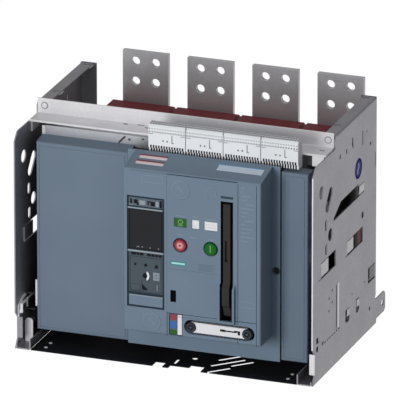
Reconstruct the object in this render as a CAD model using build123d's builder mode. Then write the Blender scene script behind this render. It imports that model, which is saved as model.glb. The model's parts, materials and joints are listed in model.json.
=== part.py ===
from build123d import *
import os

os.makedirs("parts", exist_ok=True)

# Four-pole withdrawable air circuit breaker in its guide frame, racked in.
# +X is to the operator's right, +Y to the rear and +Z up, in millimetres.
# The origin is on the floor, half way across the frame and half way along its side plates.
# A depth is a distance to the rear of the side plates' front edges.

# Guide frame: side plates
pole_count = 4
pole_pitch = 130.0
side_allowance = 35.0
frame_depth = 359.0
plate_thickness = 2.5
bend_radius = 4.0
plate_front_height = 426.0
plate_rear_height = 451.0
plate_step_depth = 121.0
plate_step_slope = 8.0
plate_corner = 16.0
top_flange_width = 25.0
rear_flange_width = 31.0
rear_flange_bottom = 56.0
flange_relief = 6.0
flange_slot_length = 13.0
flange_slot_width = 9.0
flange_slot_setback = 8.0
flange_slot_depths = [183.0, 344.0]
foot_recess = 12.0
foot_rise = 18.0
foot_top = 59.0
foot_flange_width = 11.0
foot_flange_bottom = 18.0
lug_length = 52.0
lug_bottom = 8.0
lug_top = 48.0
lug_corner = 6.0
lug_hole_radius = 6.5
lug_hole_setback = 15.0
rib_depth = 140.0
rib_width = 16.0
rib_bottom = 67.0
rib_top = 158.0
rib_press = 0.8

# Guide frame: floor, rails and cross members
floor_thickness = 2.0
channel_sheet = 2.5
channel_width = 28.8
channel_lip_height = 20.5
channel_leg_height = 8.0
rail_sheet = 2.5
rail_bottom = 62.0
rail_height = 34.0
rail_width = 19.1
rail_front = 50.0
rail_length = 265.0
crossbar_sheet = 2.5
crossbar_depth = 120.0
crossbar_rise = 6.5
shelf_front = 76.0
shelf_clearance = 0.7
shelf_lip = 4.0
crossbar_ear_height = 24.0
beam_sheet = 3.0
beam_leg = 36.0
beam_lip = 8.0
stop_tab_width = 15.4
stop_tab_height = 46.5
stop_tab_depth = 38.0
latch_bar = 5.0

# Poles and main terminals
housing_gap = 6.0
housing_lead = 14.5
housing_depth = 124.0
housing_bottom = 60.0
housing_top = 357.0
housing_wall = 30.0
upper_contact_z = 302.0
lower_contact_z = 118.0
socket_width = 84.0
socket_height = 62.0
barrier_thickness = 5.0
barrier_stands_out = 5.0
bar_width = 92.0
bar_thickness = 10.0
bar_standoff = 6.0
upper_bar_top = 455.0
lower_bar_bottom = 8.0
bar_hole_radius = 8.5
bar_hole_spacing = 40.0
bar_hole_edge = 20.0
blade_width = 50.0
blade_setback = 44.0
plug_width = 60.0
plug_height = 42.0
plug_length = 92.0
plug_finger_count = 4
finger_gap = 2.0

# Auxiliary terminal blocks
terminal_count = 4
terminal_pitch = 73.9
terminal_left = -47.6
terminal_gap = 1.2
terminal_front = 52.0
terminal_comb_front = 55.5
terminal_drop_clearance = 5.2
terminal_comb_height = 9.4
terminal_height = 56.4
tooth_count = 13
tooth_gap = 3.0

# Breaker: chassis and covers
breaker_clearance = 33.0
breaker_bottom = 30.0
top_clearance = 5.2
chassis_front = 81.0
chassis_depth = 69.0
case_clearance = 6.0
case_drop = 67.4
arc_chute_gap = 14.0
arc_chute_setback = 12.0
arc_chute_inset = 6.0
arc_chute_drop = 5.4
arc_slot_count = 7
cover_clearance = 26.7
cover_front = 46.4
cover_bottom = 25.6
cover_wall = 3.0
cover_round = 4.0
cover_groove_inset = 6.0
cover_groove_width = 1.0
cover_groove_depth = 0.9
left_cover_rise = 4.6
wiring_cover_sheet = 2.5
wiring_cover_height = 22.6
wiring_cover_right = -55.0
runner_length = 220.0
runner_gap = 0.3

# Breaker: operator panel
panel_centre_x = 65.0
panel_width = 270.0
panel_front = -21.0
panel_bottom = 74.0
panel_hood_rise = 10.6
panel_hood_slope = 14.0
panel_strip = 15.0
panel_flange_thickness = 3.0
panel_flange_bottom = 23.5
panel_corner = 4.0
seam_width = 1.2
seam_depth = 1.0
label_seam_offset = 226.0
edge_seam_offset = 262.5
module_offset = 85.4
module_top = 119.4
side_hole_radius = 6.0
side_hole_z = 203.0

# Breaker: trip unit
trip_left = -63.1
trip_right = 10.4
trip_bottom = 122.5
trip_top = 341.5
trip_pocket_depth = 28.0
trip_clearance = 0.8
display_bottom = 236.0
display_top = 316.0
display_border = 4.0
dial_x = -20.0
dial_z = 184.0
dial_radius = 9.0
latch_z = 206.5
latch_spacing = 21.2
latch_x = -26.4
latch_mark_size = 4.6
lid_seam_z = 150.0
lid_seam_width = 1.5

# Breaker: controls
button_z = 255.0
on_button_x = 101.8
off_button_x = 42.1
button_bore_radius = 13.5
button_radius = 11.8
button_stands_out = 2.5
button_thickness = 6.0
button_well_depth = 14.0
button_stem_width = 7.0
button_stem_length = 16.0
stem_clearance = 0.2
slot_centre_x = 133.5
slot_width = 24.4
slot_bottom = 117.4
slot_top = 351.6
slot_depth = 26.0
handle_width = 14.0
handle_thickness = 12.0
handle_clearance = 5.1
handle_hub_radius = 9.0
handle_pivot_setback = 12.0
grip_groove_z = 254.0
grip_groove_length = 42.0
grip_groove_width = 3.0
handle_bulge = 7.0
handle_bulge_low = 18.5
handle_bulge_high = 51.0
handle_bulge_slope = 12.0
rim_stands_out = 6.0
rim_wall = 4.0
rim_low = 112.0
rim_high = 180.0
rim_slope = 12.0
trunnion_radius = 3.0
trunnion_reach = 4.0
trunnion_clearance = 0.1
crank_left = 63.4
crank_right = 174.2
crank_z = 96.0
crank_height = 20.0
crank_thickness = 9.0
crank_knob_radius = 9.6
crank_knob_stands_out = 2.0
crank_recess_margin = 4.0
crank_recess_depth = 9.0
key_slot_left = 22.3
key_slot_right = 33.6
key_slot_bottom = 140.9
key_slot_top = 164.4
key_slot_depth = 12.0
position_window_left = 20.4
position_window_right = 45.1
position_window_bottom = 76.6
position_window_top = 117.2
indicator_bottom = 290.7
indicator_top = 308.3
indicator_depth = 2.0
indicator_windows = [(29.6, 54.6), (64.9, 79.6), (89.1, 115.3)]

# Sizes that follow from the ones above
frame_width = pole_count * pole_pitch + 2 * side_allowance
half_width = frame_width / 2
plate_inner = half_width - plate_thickness
channel_inner = plate_inner - channel_width
half_breaker = half_width - breaker_clearance
half_cover = half_width - cover_clearance
housing_width = pole_pitch - housing_gap
arc_chute_width = pole_pitch - arc_chute_gap
chassis_rear = chassis_front + chassis_depth
crossbar_top = plate_rear_height + crossbar_rise
shelf_bottom = plate_front_height + shelf_clearance
shelf_top = shelf_bottom + crossbar_sheet
wiring_cover_top = shelf_top - shelf_lip - top_clearance
breaker_top = wiring_cover_top - wiring_cover_height
left_cover_rear_top = breaker_top + left_cover_rise
panel_hood_top = breaker_top + panel_hood_rise
panel_face_top = panel_hood_top - panel_hood_slope
terminal_comb_bottom = breaker_top + terminal_drop_clearance
terminal_body_bottom = terminal_comb_bottom + terminal_comb_height
terminal_top = terminal_comb_bottom + terminal_height
case_top = breaker_top - case_drop
arc_chute_top = breaker_top - arc_chute_drop
panel_left = panel_centre_x - panel_width / 2
panel_right = panel_centre_x + panel_width / 2
flange_left = panel_left - panel_strip
flange_right = panel_right + panel_strip
pole_centres = [(i - (pole_count - 1) / 2) * pole_pitch for i in range(pole_count)]
rear_flange_front = frame_depth - plate_thickness
beam_front = rear_flange_front - beam_leg
housing_front = beam_front - housing_lead
housing_rear = housing_front + housing_depth
housing_back_wall = housing_rear - housing_wall
blade_front = housing_front + blade_setback
bar_front = housing_rear + bar_standoff
case_rear = housing_front - case_clearance
arc_chute_front = chassis_rear + arc_chute_setback
arc_chute_depth = case_rear - arc_chute_inset - arc_chute_front
beam_half = plate_inner - bend_radius
runner_outer = plate_inner - rail_sheet - runner_gap


def y_at(depth):
    """The Y of a point at this distance behind the side plates' front edges."""
    return depth - frame_depth / 2


def front_plane(depth):
    """An upright plane facing the operator: its own axes are X and Z."""
    return Plane.XZ.offset(-y_at(depth))


def middle(span):
    return (span[0] + span[1]) / 2


def block(x, depth, z, mode=Mode.ADD):
    """A plain block between two values each way, in the part being built."""
    with Locations((middle(x), y_at(middle(depth)), middle(z))):
        Box(x[1] - x[0], depth[1] - depth[0], z[1] - z[0], mode=mode)


def window(x, z):
    """A rectangle between two values each way, in the sketch being drawn."""
    with Locations((middle(x), middle(z))):
        Rectangle(x[1] - x[0], z[1] - z[0])


def side_window(depth, z):
    """A rectangle in a sketch on a side plane, whose own axes are Y and Z."""
    window((y_at(depth[0]), y_at(depth[1])), z)


def side_profile(points):
    """A closed outline of depth and height pairs, in a sketch on a side plane."""
    with BuildLine() as line:
        Polyline([(y_at(depth), z) for depth, z in points], close=True)
    make_face(line.edges())


def save(piece, node):
    """Label a finished piece and write its file."""
    piece.part.label = node
    export_step(piece.part, f"parts/{node}.step")


# Side plates: one folded sheet each, pierced, with pressed tongues behind its windows
plate_outline = [
    (0.0, 0.0),
    (foot_recess, foot_rise),
    (foot_recess, foot_top),
    (0.0, foot_top + foot_recess),
    (0.0, plate_front_height - plate_corner),
    (plate_corner, plate_front_height),
    (plate_step_depth, plate_front_height),
    (plate_step_depth, plate_rear_height - plate_step_slope),
    (plate_step_depth + plate_step_slope, plate_rear_height),
    (frame_depth, plate_rear_height),
    (frame_depth, lug_top),
    (frame_depth + lug_length - lug_corner, lug_top),
    (frame_depth + lug_length, lug_top - lug_corner),
    (frame_depth + lug_length, lug_bottom + lug_corner),
    (frame_depth + lug_length - lug_corner, lug_bottom),
    (frame_depth, lug_bottom),
    (frame_depth, 0.0),
]
round_holes = [(45.6, 366.5, 12.5), (95.7, 267.4, 12.0), (25.0, 65.5, 6.0)]
plate_windows = [
    ((45.0, 128.0), (196.0, 228.0)),
    ((192.0, 279.0), (191.0, 221.0)),
    ((254.0, 286.0), (288.0, 308.0)),
    ((311.0, 349.0), (94.5, 125.0)),
    ((183.0, 206.0), (62.0, 86.0)),
    ((243.0, 260.0), (62.0, 87.0)),
    ((20.0, 36.0), (76.0, 88.0)),
    ((272.0, 283.0), (238.0, 250.0)),
    ((275.0, 279.0), (384.0, 411.0)),
    ((347.0, 350.0), (315.0, 345.0)),
    ((216.0, 223.0), (399.0, 416.0)),
    ((183.0, 189.0), (396.0, 405.0)),
    ((146.0, 153.0), (398.0, 406.0)),
]
tapered_window = [(115.0, 287.0), (254.0, 287.0), (254.0, 313.0), (155.0, 313.0), (115.0, 293.0)]
tongues = [
    (45.0, 86.0, (200.0, 227.2)),
    (192.0, 226.0, (195.0, 220.2)),
    (286.0, 258.0, (290.0, 307.2)),
    (349.0, 319.0, (98.0, 124.2)),
]
slanted_slot = (88.0, 338.5)
slanted_slot_length = 50.0
slanted_slot_width = 22.0
upright_slots = [(72.0, 294.0), (74.0, 245.6)]
upright_slot_length = 22.0
upright_slot_width = 12.0
vent_slot_z = 64.0
vent_slot_pitch = 13.0
vent_slot_depths = [56.0 + vent_slot_pitch * i for i in range(8)]

flange_start = plate_step_depth + plate_step_slope
relief_z = plate_rear_height - flange_relief
relief_depth = frame_depth - flange_relief
with BuildPart() as side_plate_right:
    with BuildSketch(Plane.YZ.offset(plate_inner)):
        side_profile(plate_outline)
    extrude(amount=plate_thickness)
    block((plate_inner, half_width), (flange_start, frame_depth), (relief_z, plate_rear_height), Mode.SUBTRACT)
    block((plate_inner, half_width), (relief_depth, frame_depth), (lug_top, relief_z), Mode.SUBTRACT)
    with BuildSketch(front_plane(flange_start)):
        with BuildLine():
            FilletPolyline(
                (half_width, relief_z),
                (half_width, plate_rear_height),
                (half_width - top_flange_width, plate_rear_height),
                radius=bend_radius,
            )
            offset(amount=plate_thickness, side=Side.LEFT)
        make_face()
    extrude(amount=-(relief_depth - flange_start))
    with BuildSketch(Plane.XY.offset(rear_flange_bottom)):
        with BuildLine():
            FilletPolyline(
                (half_width, y_at(relief_depth)),
                (half_width, y_at(frame_depth)),
                (half_width - rear_flange_width, y_at(frame_depth)),
                radius=bend_radius,
            )
            offset(amount=plate_thickness, side=Side.LEFT)
        make_face()
    extrude(amount=plate_rear_height - rear_flange_bottom)
    block(
        (half_width - foot_flange_width, plate_inner),
        (foot_recess, foot_recess + plate_thickness),
        (foot_flange_bottom, foot_top),
    )
    with BuildSketch(Plane.XY.offset(plate_rear_height)):
        slot_x = half_width - top_flange_width + flange_slot_setback
        with Locations([(slot_x, y_at(depth)) for depth in flange_slot_depths]):
            SlotOverall(flange_slot_length, flange_slot_width)
    extrude(amount=-plate_thickness, mode=Mode.SUBTRACT)
    with BuildSketch(Plane.YZ.offset(plate_inner)):
        for depth, z, radius in round_holes:
            with Locations((y_at(depth), z)):
                Circle(radius)
        for depth, z in plate_windows:
            side_window(depth, z)
        side_profile(tapered_window)
        with Locations((y_at(slanted_slot[0]), slanted_slot[1])):
            SlotOverall(slanted_slot_length, slanted_slot_width, rotation=50)
        with Locations([(y_at(depth), z) for depth, z in upright_slots]):
            SlotOverall(upright_slot_length, upright_slot_width, rotation=90)
        with Locations([(y_at(depth), vent_slot_z) for depth in vent_slot_depths]):
            Rectangle(8.0, 2.6)
        with Locations((y_at(frame_depth + lug_length - lug_hole_setback), middle((lug_bottom, lug_top)))):
            Circle(lug_hole_radius)
    extrude(amount=plate_thickness, mode=Mode.SUBTRACT)
    for root, tip, z in tongues:
        heel = root - plate_thickness if tip > root else root + plate_thickness
        block((plate_inner - plate_thickness, plate_inner), sorted((heel, tip)), z)
    with BuildSketch(Plane.YZ.offset(half_width)):
        with Locations((y_at(rib_depth), middle((rib_bottom, rib_top)))):
            SlotOverall(rib_top - rib_bottom, rib_width, rotation=90)
    extrude(amount=-rib_press, taper=60, mode=Mode.SUBTRACT)
save(side_plate_right, "side_plate_right")

with BuildPart() as side_plate_left:
    mirror(side_plate_right.part, about=Plane.YZ)
save(side_plate_left, "side_plate_left")

# Floor plate: black sheet between the rails, with the cut-outs for the racking gear
front_notches = [((-21.5, -2.0), 22.0), ((10.0, 47.0), 13.0), ((47.0, 74.0), 25.0)]
racking_slots = [(107.0, 60.5, 72.0), (103.0, 85.5, 50.0), (134.0, 63.5, 47.0), (103.5, 18.5, 48.0)]
racking_slot_width = 8.0
with BuildPart() as floor_plate:
    block((-channel_inner, channel_inner), (0.0, rear_flange_front), (0.0, floor_thickness))
    with BuildSketch():
        for x, notch_depth in front_notches:
            window(x, (y_at(-1.0), y_at(notch_depth)))
        window((12.0, 17.0), (y_at(23.0), y_at(47.0)))
        with Locations((41.5, y_at(61.0))):
            Circle(5.5)
        for x, depth, length in racking_slots:
            with Locations((x, y_at(depth))):
                Rectangle(length, racking_slot_width, rotation=45)
    extrude(amount=floor_thickness, mode=Mode.SUBTRACT)
save(floor_plate, "floor_plate")

# Floor channels: they carry the plates and stand on the floor beside the black sheet
with BuildPart() as rail_channel_right:
    with BuildSketch(front_plane(0.0)):
        with BuildLine():
            FilletPolyline(
                (plate_inner, channel_leg_height),
                (plate_inner, 0.0),
                (channel_inner, 0.0),
                (channel_inner, channel_lip_height),
                radius=channel_sheet * 1.4,
            )
            offset(amount=channel_sheet, side=Side.RIGHT)
        make_face()
    extrude(amount=-rear_flange_front)
save(rail_channel_right, "rail_channel_right")

with BuildPart() as rail_channel_left:
    mirror(rail_channel_right.part, about=Plane.YZ)
save(rail_channel_left, "rail_channel_left")

# Guide rails: C-shaped, open to the middle, with the breaker's runners inside
with BuildPart() as guide_rail_right:
    with BuildSketch(front_plane(rail_front)):
        with BuildLine():
            FilletPolyline(
                (plate_inner - rail_width, rail_bottom),
                (plate_inner, rail_bottom),
                (plate_inner, rail_bottom + rail_height),
                (plate_inner - rail_width, rail_bottom + rail_height),
                radius=rail_sheet * 1.4,
            )
            offset(amount=rail_sheet, side=Side.LEFT)
        make_face()
    extrude(amount=-rail_length)
save(guide_rail_right, "guide_rail_right")

with BuildPart() as guide_rail_left:
    mirror(guide_rail_right.part, about=Plane.YZ)
save(guide_rail_left, "guide_rail_left")

# Stop tab: stands in the left floor channel beside the cover
with BuildPart() as stop_tab:
    with BuildSketch(front_plane(stop_tab_depth)):
        tab_left = -plate_inner + channel_sheet * 1.5
        window((tab_left, tab_left + stop_tab_width), (channel_sheet, channel_sheet + stop_tab_height))
    extrude(amount=-plate_thickness)
    top_corners = stop_tab.edges().filter_by(Axis.Y).group_by(Axis.Z)[-1]
    fillet(top_corners, radius=stop_tab_width * 0.45)
save(stop_tab, "stop_tab")

# Rail latch: a bright cranked strip flat on the left plate, in front of its rail
latch_line = [(12.0, 62.0), (12.0, 82.0), (36.0, 92.0), (46.0, 92.0)]
with BuildPart() as rail_latch:
    with BuildSketch(Plane.YZ.offset(-plate_inner)):
        with BuildLine():
            FilletPolyline([(y_at(depth), z) for depth, z in latch_line], radius=latch_bar)
            offset(amount=latch_bar / 2, side=Side.BOTH)
        make_face()
    extrude(amount=rail_sheet)
save(rail_latch, "rail_latch")

# Crossbar: an upright bright sheet with a shelf to the front and an ear at each end
with BuildPart() as top_crossbar:
    with BuildSketch(Plane.YZ.offset(-plate_inner)):
        with BuildLine():
            FilletPolyline(
                (y_at(shelf_front), shelf_top - shelf_lip),
                (y_at(shelf_front), shelf_top),
                (y_at(crossbar_depth), shelf_top),
                (y_at(crossbar_depth), crossbar_top),
                radius=crossbar_sheet * 0.6,
            )
            offset(amount=crossbar_sheet, side=Side.RIGHT)
        make_face()
    extrude(amount=2 * plate_inner)
    for side in (-1, 1):
        ear = sorted((side * plate_inner, side * (plate_inner - crossbar_sheet)))
        block(ear, (shelf_front + 10.0, crossbar_depth), (shelf_bottom - crossbar_ear_height, shelf_bottom))
save(top_crossbar, "top_crossbar")

# Rear beams: angles between the plates that clamp the contact housings
with BuildPart() as rear_beam_upper:
    with BuildSketch(Plane.YZ.offset(-beam_half)):
        with BuildLine():
            FilletPolyline(
                (y_at(beam_front), housing_top),
                (y_at(rear_flange_front), housing_top),
                (y_at(rear_flange_front), housing_top + beam_lip),
                radius=beam_sheet * 1.4,
            )
            offset(amount=beam_sheet, side=Side.LEFT)
        make_face()
    extrude(amount=2 * beam_half)
save(rear_beam_upper, "rear_beam_upper")

with BuildPart() as rear_beam_lower:
    with BuildSketch(Plane.YZ.offset(-beam_half)):
        with BuildLine():
            FilletPolyline(
                (y_at(beam_front), housing_bottom),
                (y_at(rear_flange_front), housing_bottom),
                (y_at(rear_flange_front), housing_bottom - beam_lip),
                radius=beam_sheet * 1.4,
            )
            offset(amount=beam_sheet, side=Side.RIGHT)
        make_face()
    extrude(amount=2 * beam_half)
save(rear_beam_lower, "rear_beam_lower")


def contact_housing(x):
    """A moulded block that carries one pole's two fixed contacts in open sockets."""
    with BuildPart() as housing:
        block((x - housing_width / 2, x + housing_width / 2), (housing_front, housing_rear), (housing_bottom, housing_top))
        chamfer(housing.edges().filter_by(Axis.X).group_by(Axis.Y)[-1], length=4.0)
        for side in (-1, 1):
            rib = sorted((x + side * housing_width / 2, x + side * (housing_width / 2 - barrier_thickness)))
            block(rib, (housing_rear, housing_rear + barrier_stands_out), (housing_bottom + 6.0, housing_top - 6.0))
        for contact_z in (upper_contact_z, lower_contact_z):
            with BuildSketch(front_plane(housing_front)):
                window(
                    (x - socket_width / 2, x + socket_width / 2),
                    (contact_z - socket_height / 2, contact_z + socket_height / 2),
                )
            extrude(amount=-(housing_back_wall - housing_front), taper=2, mode=Mode.SUBTRACT)
            with BuildSketch(front_plane(housing_back_wall)):
                window(
                    (x - blade_width / 2 - 0.2, x + blade_width / 2 + 0.2),
                    (contact_z - bar_thickness / 2 - 0.2, contact_z + bar_thickness / 2 + 0.2),
                )
            extrude(amount=-housing_wall, mode=Mode.SUBTRACT)
    return housing


def terminal_bar(x, contact_z, end_z):
    """An angled bar: a blade inside the socket and an upright palm with four holes."""
    way = 1 if end_z > contact_z else -1
    heel_z = contact_z - way * bar_thickness / 2
    with BuildPart() as bar:
        block(
            (x - blade_width / 2, x + blade_width / 2),
            (blade_front, bar_front),
            (contact_z - bar_thickness / 2, contact_z + bar_thickness / 2),
        )
        nose = bar.edges().filter_by(Axis.X).group_by(Axis.Y)[0]
        chamfer(nose, length=bar_thickness * 0.3)
        block(
            (x - bar_width / 2, x + bar_width / 2),
            (bar_front, bar_front + bar_thickness),
            sorted((heel_z, end_z)),
        )
        holes_z = end_z - way * (bar_hole_edge + bar_hole_spacing / 2)
        with BuildSketch(front_plane(bar_front)):
            with Locations((x, holes_z)):
                with GridLocations(bar_hole_spacing, bar_hole_spacing, 2, 2):
                    Circle(bar_hole_radius)
        extrude(amount=-bar_thickness, mode=Mode.SUBTRACT)
    return bar


for number, x in enumerate(pole_centres, start=1):
    save(contact_housing(x), f"contact_housing_{number}")
    save(terminal_bar(x, upper_contact_z, upper_bar_top), f"upper_terminal_bar_{number}")
    save(terminal_bar(x, lower_contact_z, lower_bar_bottom), f"lower_terminal_bar_{number}")


def terminal_block(left):
    """A row terminal that hangs on the front of the shelf, with a comb below its face."""
    right = left + terminal_pitch - terminal_gap
    with BuildPart() as terminal:
        with BuildSketch(Plane.YZ.offset(left)):
            side_profile([
                (terminal_comb_front, terminal_comb_bottom),
                (shelf_front, terminal_comb_bottom),
                (shelf_front, terminal_top - 14.0),
                (shelf_front - 6.0, terminal_top),
                (terminal_front + 4.0, terminal_top - 2.0),
                (terminal_front, terminal_top - 6.0),
                (terminal_front, terminal_body_bottom),
                (terminal_comb_front, terminal_body_bottom),
            ])
        extrude(amount=right - left)
        tooth_pitch = (right - left) / (tooth_count + 1)
        with BuildSketch(front_plane(terminal_comb_front)):
            with Locations((middle((left, right)), middle((terminal_comb_bottom, terminal_body_bottom)))):
                with GridLocations(tooth_pitch, 1.0, tooth_count, 1):
                    Rectangle(tooth_gap, terminal_comb_height)
        extrude(amount=-(shelf_front - terminal_comb_front) * 0.6, mode=Mode.SUBTRACT)
    return terminal


for number in range(terminal_count):
    left = terminal_left + number * terminal_pitch
    save(terminal_block(left), f"aux_terminal_block_{number + 1}")

# Chassis: the closed mechanism box behind the covers and the panel
with BuildPart() as mechanism_box:
    block((-half_breaker, half_breaker), (chassis_front, chassis_rear), (breaker_bottom, breaker_top))
    block((flange_left + 1.5, flange_right - 1.5), (cover_front, chassis_front), (breaker_bottom, breaker_top))
save(mechanism_box, "mechanism_box")

# Switch case: the moulded pole casing, ribbed between the poles
with BuildPart() as switch_case:
    block((-half_breaker, half_breaker), (chassis_rear, case_rear), (breaker_bottom, case_top))
    with BuildSketch(Plane.XY.offset(breaker_bottom)):
        with Locations([(x, y_at(case_rear)) for x in pole_centres]):
            Rectangle(pole_pitch - 14.0, 12.0)
    extrude(amount=34.0, mode=Mode.SUBTRACT)
    with BuildSketch(front_plane(case_rear)):
        for x in pole_centres[:-1]:
            window((x + pole_pitch / 2 - 2.5, x + pole_pitch / 2 + 2.5), (breaker_bottom, case_top))
    extrude(amount=8.0, mode=Mode.SUBTRACT)
save(switch_case, "switch_case")


# Arc chutes: one on each pole, with vent slots in the top
with BuildPart() as arc_chutes:
    for x in pole_centres:
        block(
            (x - arc_chute_width / 2, x + arc_chute_width / 2),
            (arc_chute_front, arc_chute_front + arc_chute_depth),
            (case_top, arc_chute_top),
        )
    chamfer(arc_chutes.edges().filter_by(Axis.X).group_by(Axis.Z)[-1], length=8.0)
    slot_pitch = (arc_chute_depth - 30.0) / arc_slot_count
    with BuildSketch(Plane.XY.offset(arc_chute_top)):
        with Locations((0, y_at(arc_chute_front + arc_chute_depth / 2))):
            with GridLocations(pole_pitch, slot_pitch, pole_count, arc_slot_count):
                Rectangle(arc_chute_width - 20.0, slot_pitch / 2)
    extrude(amount=-10.0, mode=Mode.SUBTRACT)
save(arc_chutes, "arc_chutes")


def blank_cover(x, rear_top):
    """A moulded cover, open at the back, with rounded front edges."""
    with BuildPart() as cover:
        with BuildSketch(Plane.YZ.offset(x[0])):
            side_profile([
                (cover_front, cover_bottom),
                (chassis_front, cover_bottom),
                (chassis_front, rear_top),
                (cover_front, breaker_top),
            ])
        extrude(amount=x[1] - x[0])
        front_rim = cover.edges().group_by(Axis.Y)[0]
        fillet(front_rim, radius=cover_round)
        back_face = cover.faces().sort_by(Axis.Y)[-1]
        offset(amount=-cover_wall, openings=back_face)
        with BuildSketch(front_plane(cover_front)):
            border = cover_groove_inset
            window((x[0] + border, x[1] - border), (cover_bottom + border, breaker_top - border))
            border = cover_groove_inset + cover_groove_width
            with Locations((middle(x), middle((cover_bottom, breaker_top)))):
                Rectangle(x[1] - x[0] - 2 * border, breaker_top - cover_bottom - 2 * border, mode=Mode.SUBTRACT)
        extrude(amount=-cover_groove_depth, mode=Mode.SUBTRACT)
    return cover


save(blank_cover((-half_cover, flange_left - 0.3), left_cover_rear_top), "left_cover")
save(blank_cover((flange_right + 0.3, half_cover), breaker_top), "right_cover")

# Wiring cover: the bright upright sheet behind the left cover
with BuildPart() as wiring_cover:
    block(
        (-half_breaker, wiring_cover_right),
        (chassis_front + 0.2, chassis_front + 0.2 + wiring_cover_sheet),
        (breaker_top, wiring_cover_top),
    )
    block(
        (-half_breaker, wiring_cover_right),
        (chassis_front + 0.2, chassis_rear),
        (breaker_top, breaker_top + wiring_cover_sheet),
    )
save(wiring_cover, "wiring_cover")

# Runners: they slide in the guide rails and carry the breaker
with BuildPart() as runner_right:
    block(
        (half_breaker, runner_outer),
        (chassis_front + 0.3, chassis_front + 0.3 + runner_length),
        (rail_bottom + rail_sheet + runner_gap, rail_bottom + rail_height - rail_sheet - runner_gap),
    )
    chamfer(runner_right.edges().filter_by(Axis.X), length=3.0)
save(runner_right, "runner_right")

with BuildPart() as runner_left:
    mirror(runner_right.part, about=Plane.YZ)
save(runner_left, "runner_left")


def plug_contacts(contact_z):
    """One finger cluster for each pole, split level with its blade."""
    with BuildPart() as plugs:
        for x in pole_centres:
            block(
                (x - plug_width / 2, x + plug_width / 2),
                (case_rear, case_rear + plug_length),
                (contact_z - plug_height / 2, contact_z + plug_height / 2),
            )
        jaw = bar_thickness / 2 + 0.5
        finger_front = blade_front - 12.0
        for x in pole_centres:
            block(
                (x - plug_width / 2, x + plug_width / 2),
                (finger_front, case_rear + plug_length),
                (contact_z - jaw, contact_z + jaw),
                mode=Mode.SUBTRACT,
            )
        finger_pitch = (plug_width + finger_gap) / plug_finger_count
        with BuildSketch(front_plane(case_rear + plug_length)):
            for x in pole_centres:
                with Locations((x, contact_z)):
                    with GridLocations(finger_pitch, 1.0, plug_finger_count - 1, 1):
                        Rectangle(finger_gap, plug_height)
        extrude(amount=case_rear + plug_length - finger_front, mode=Mode.SUBTRACT)
    return plugs


save(plug_contacts(upper_contact_z), "upper_plug_contacts")
save(plug_contacts(lower_contact_z), "lower_plug_contacts")

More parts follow.
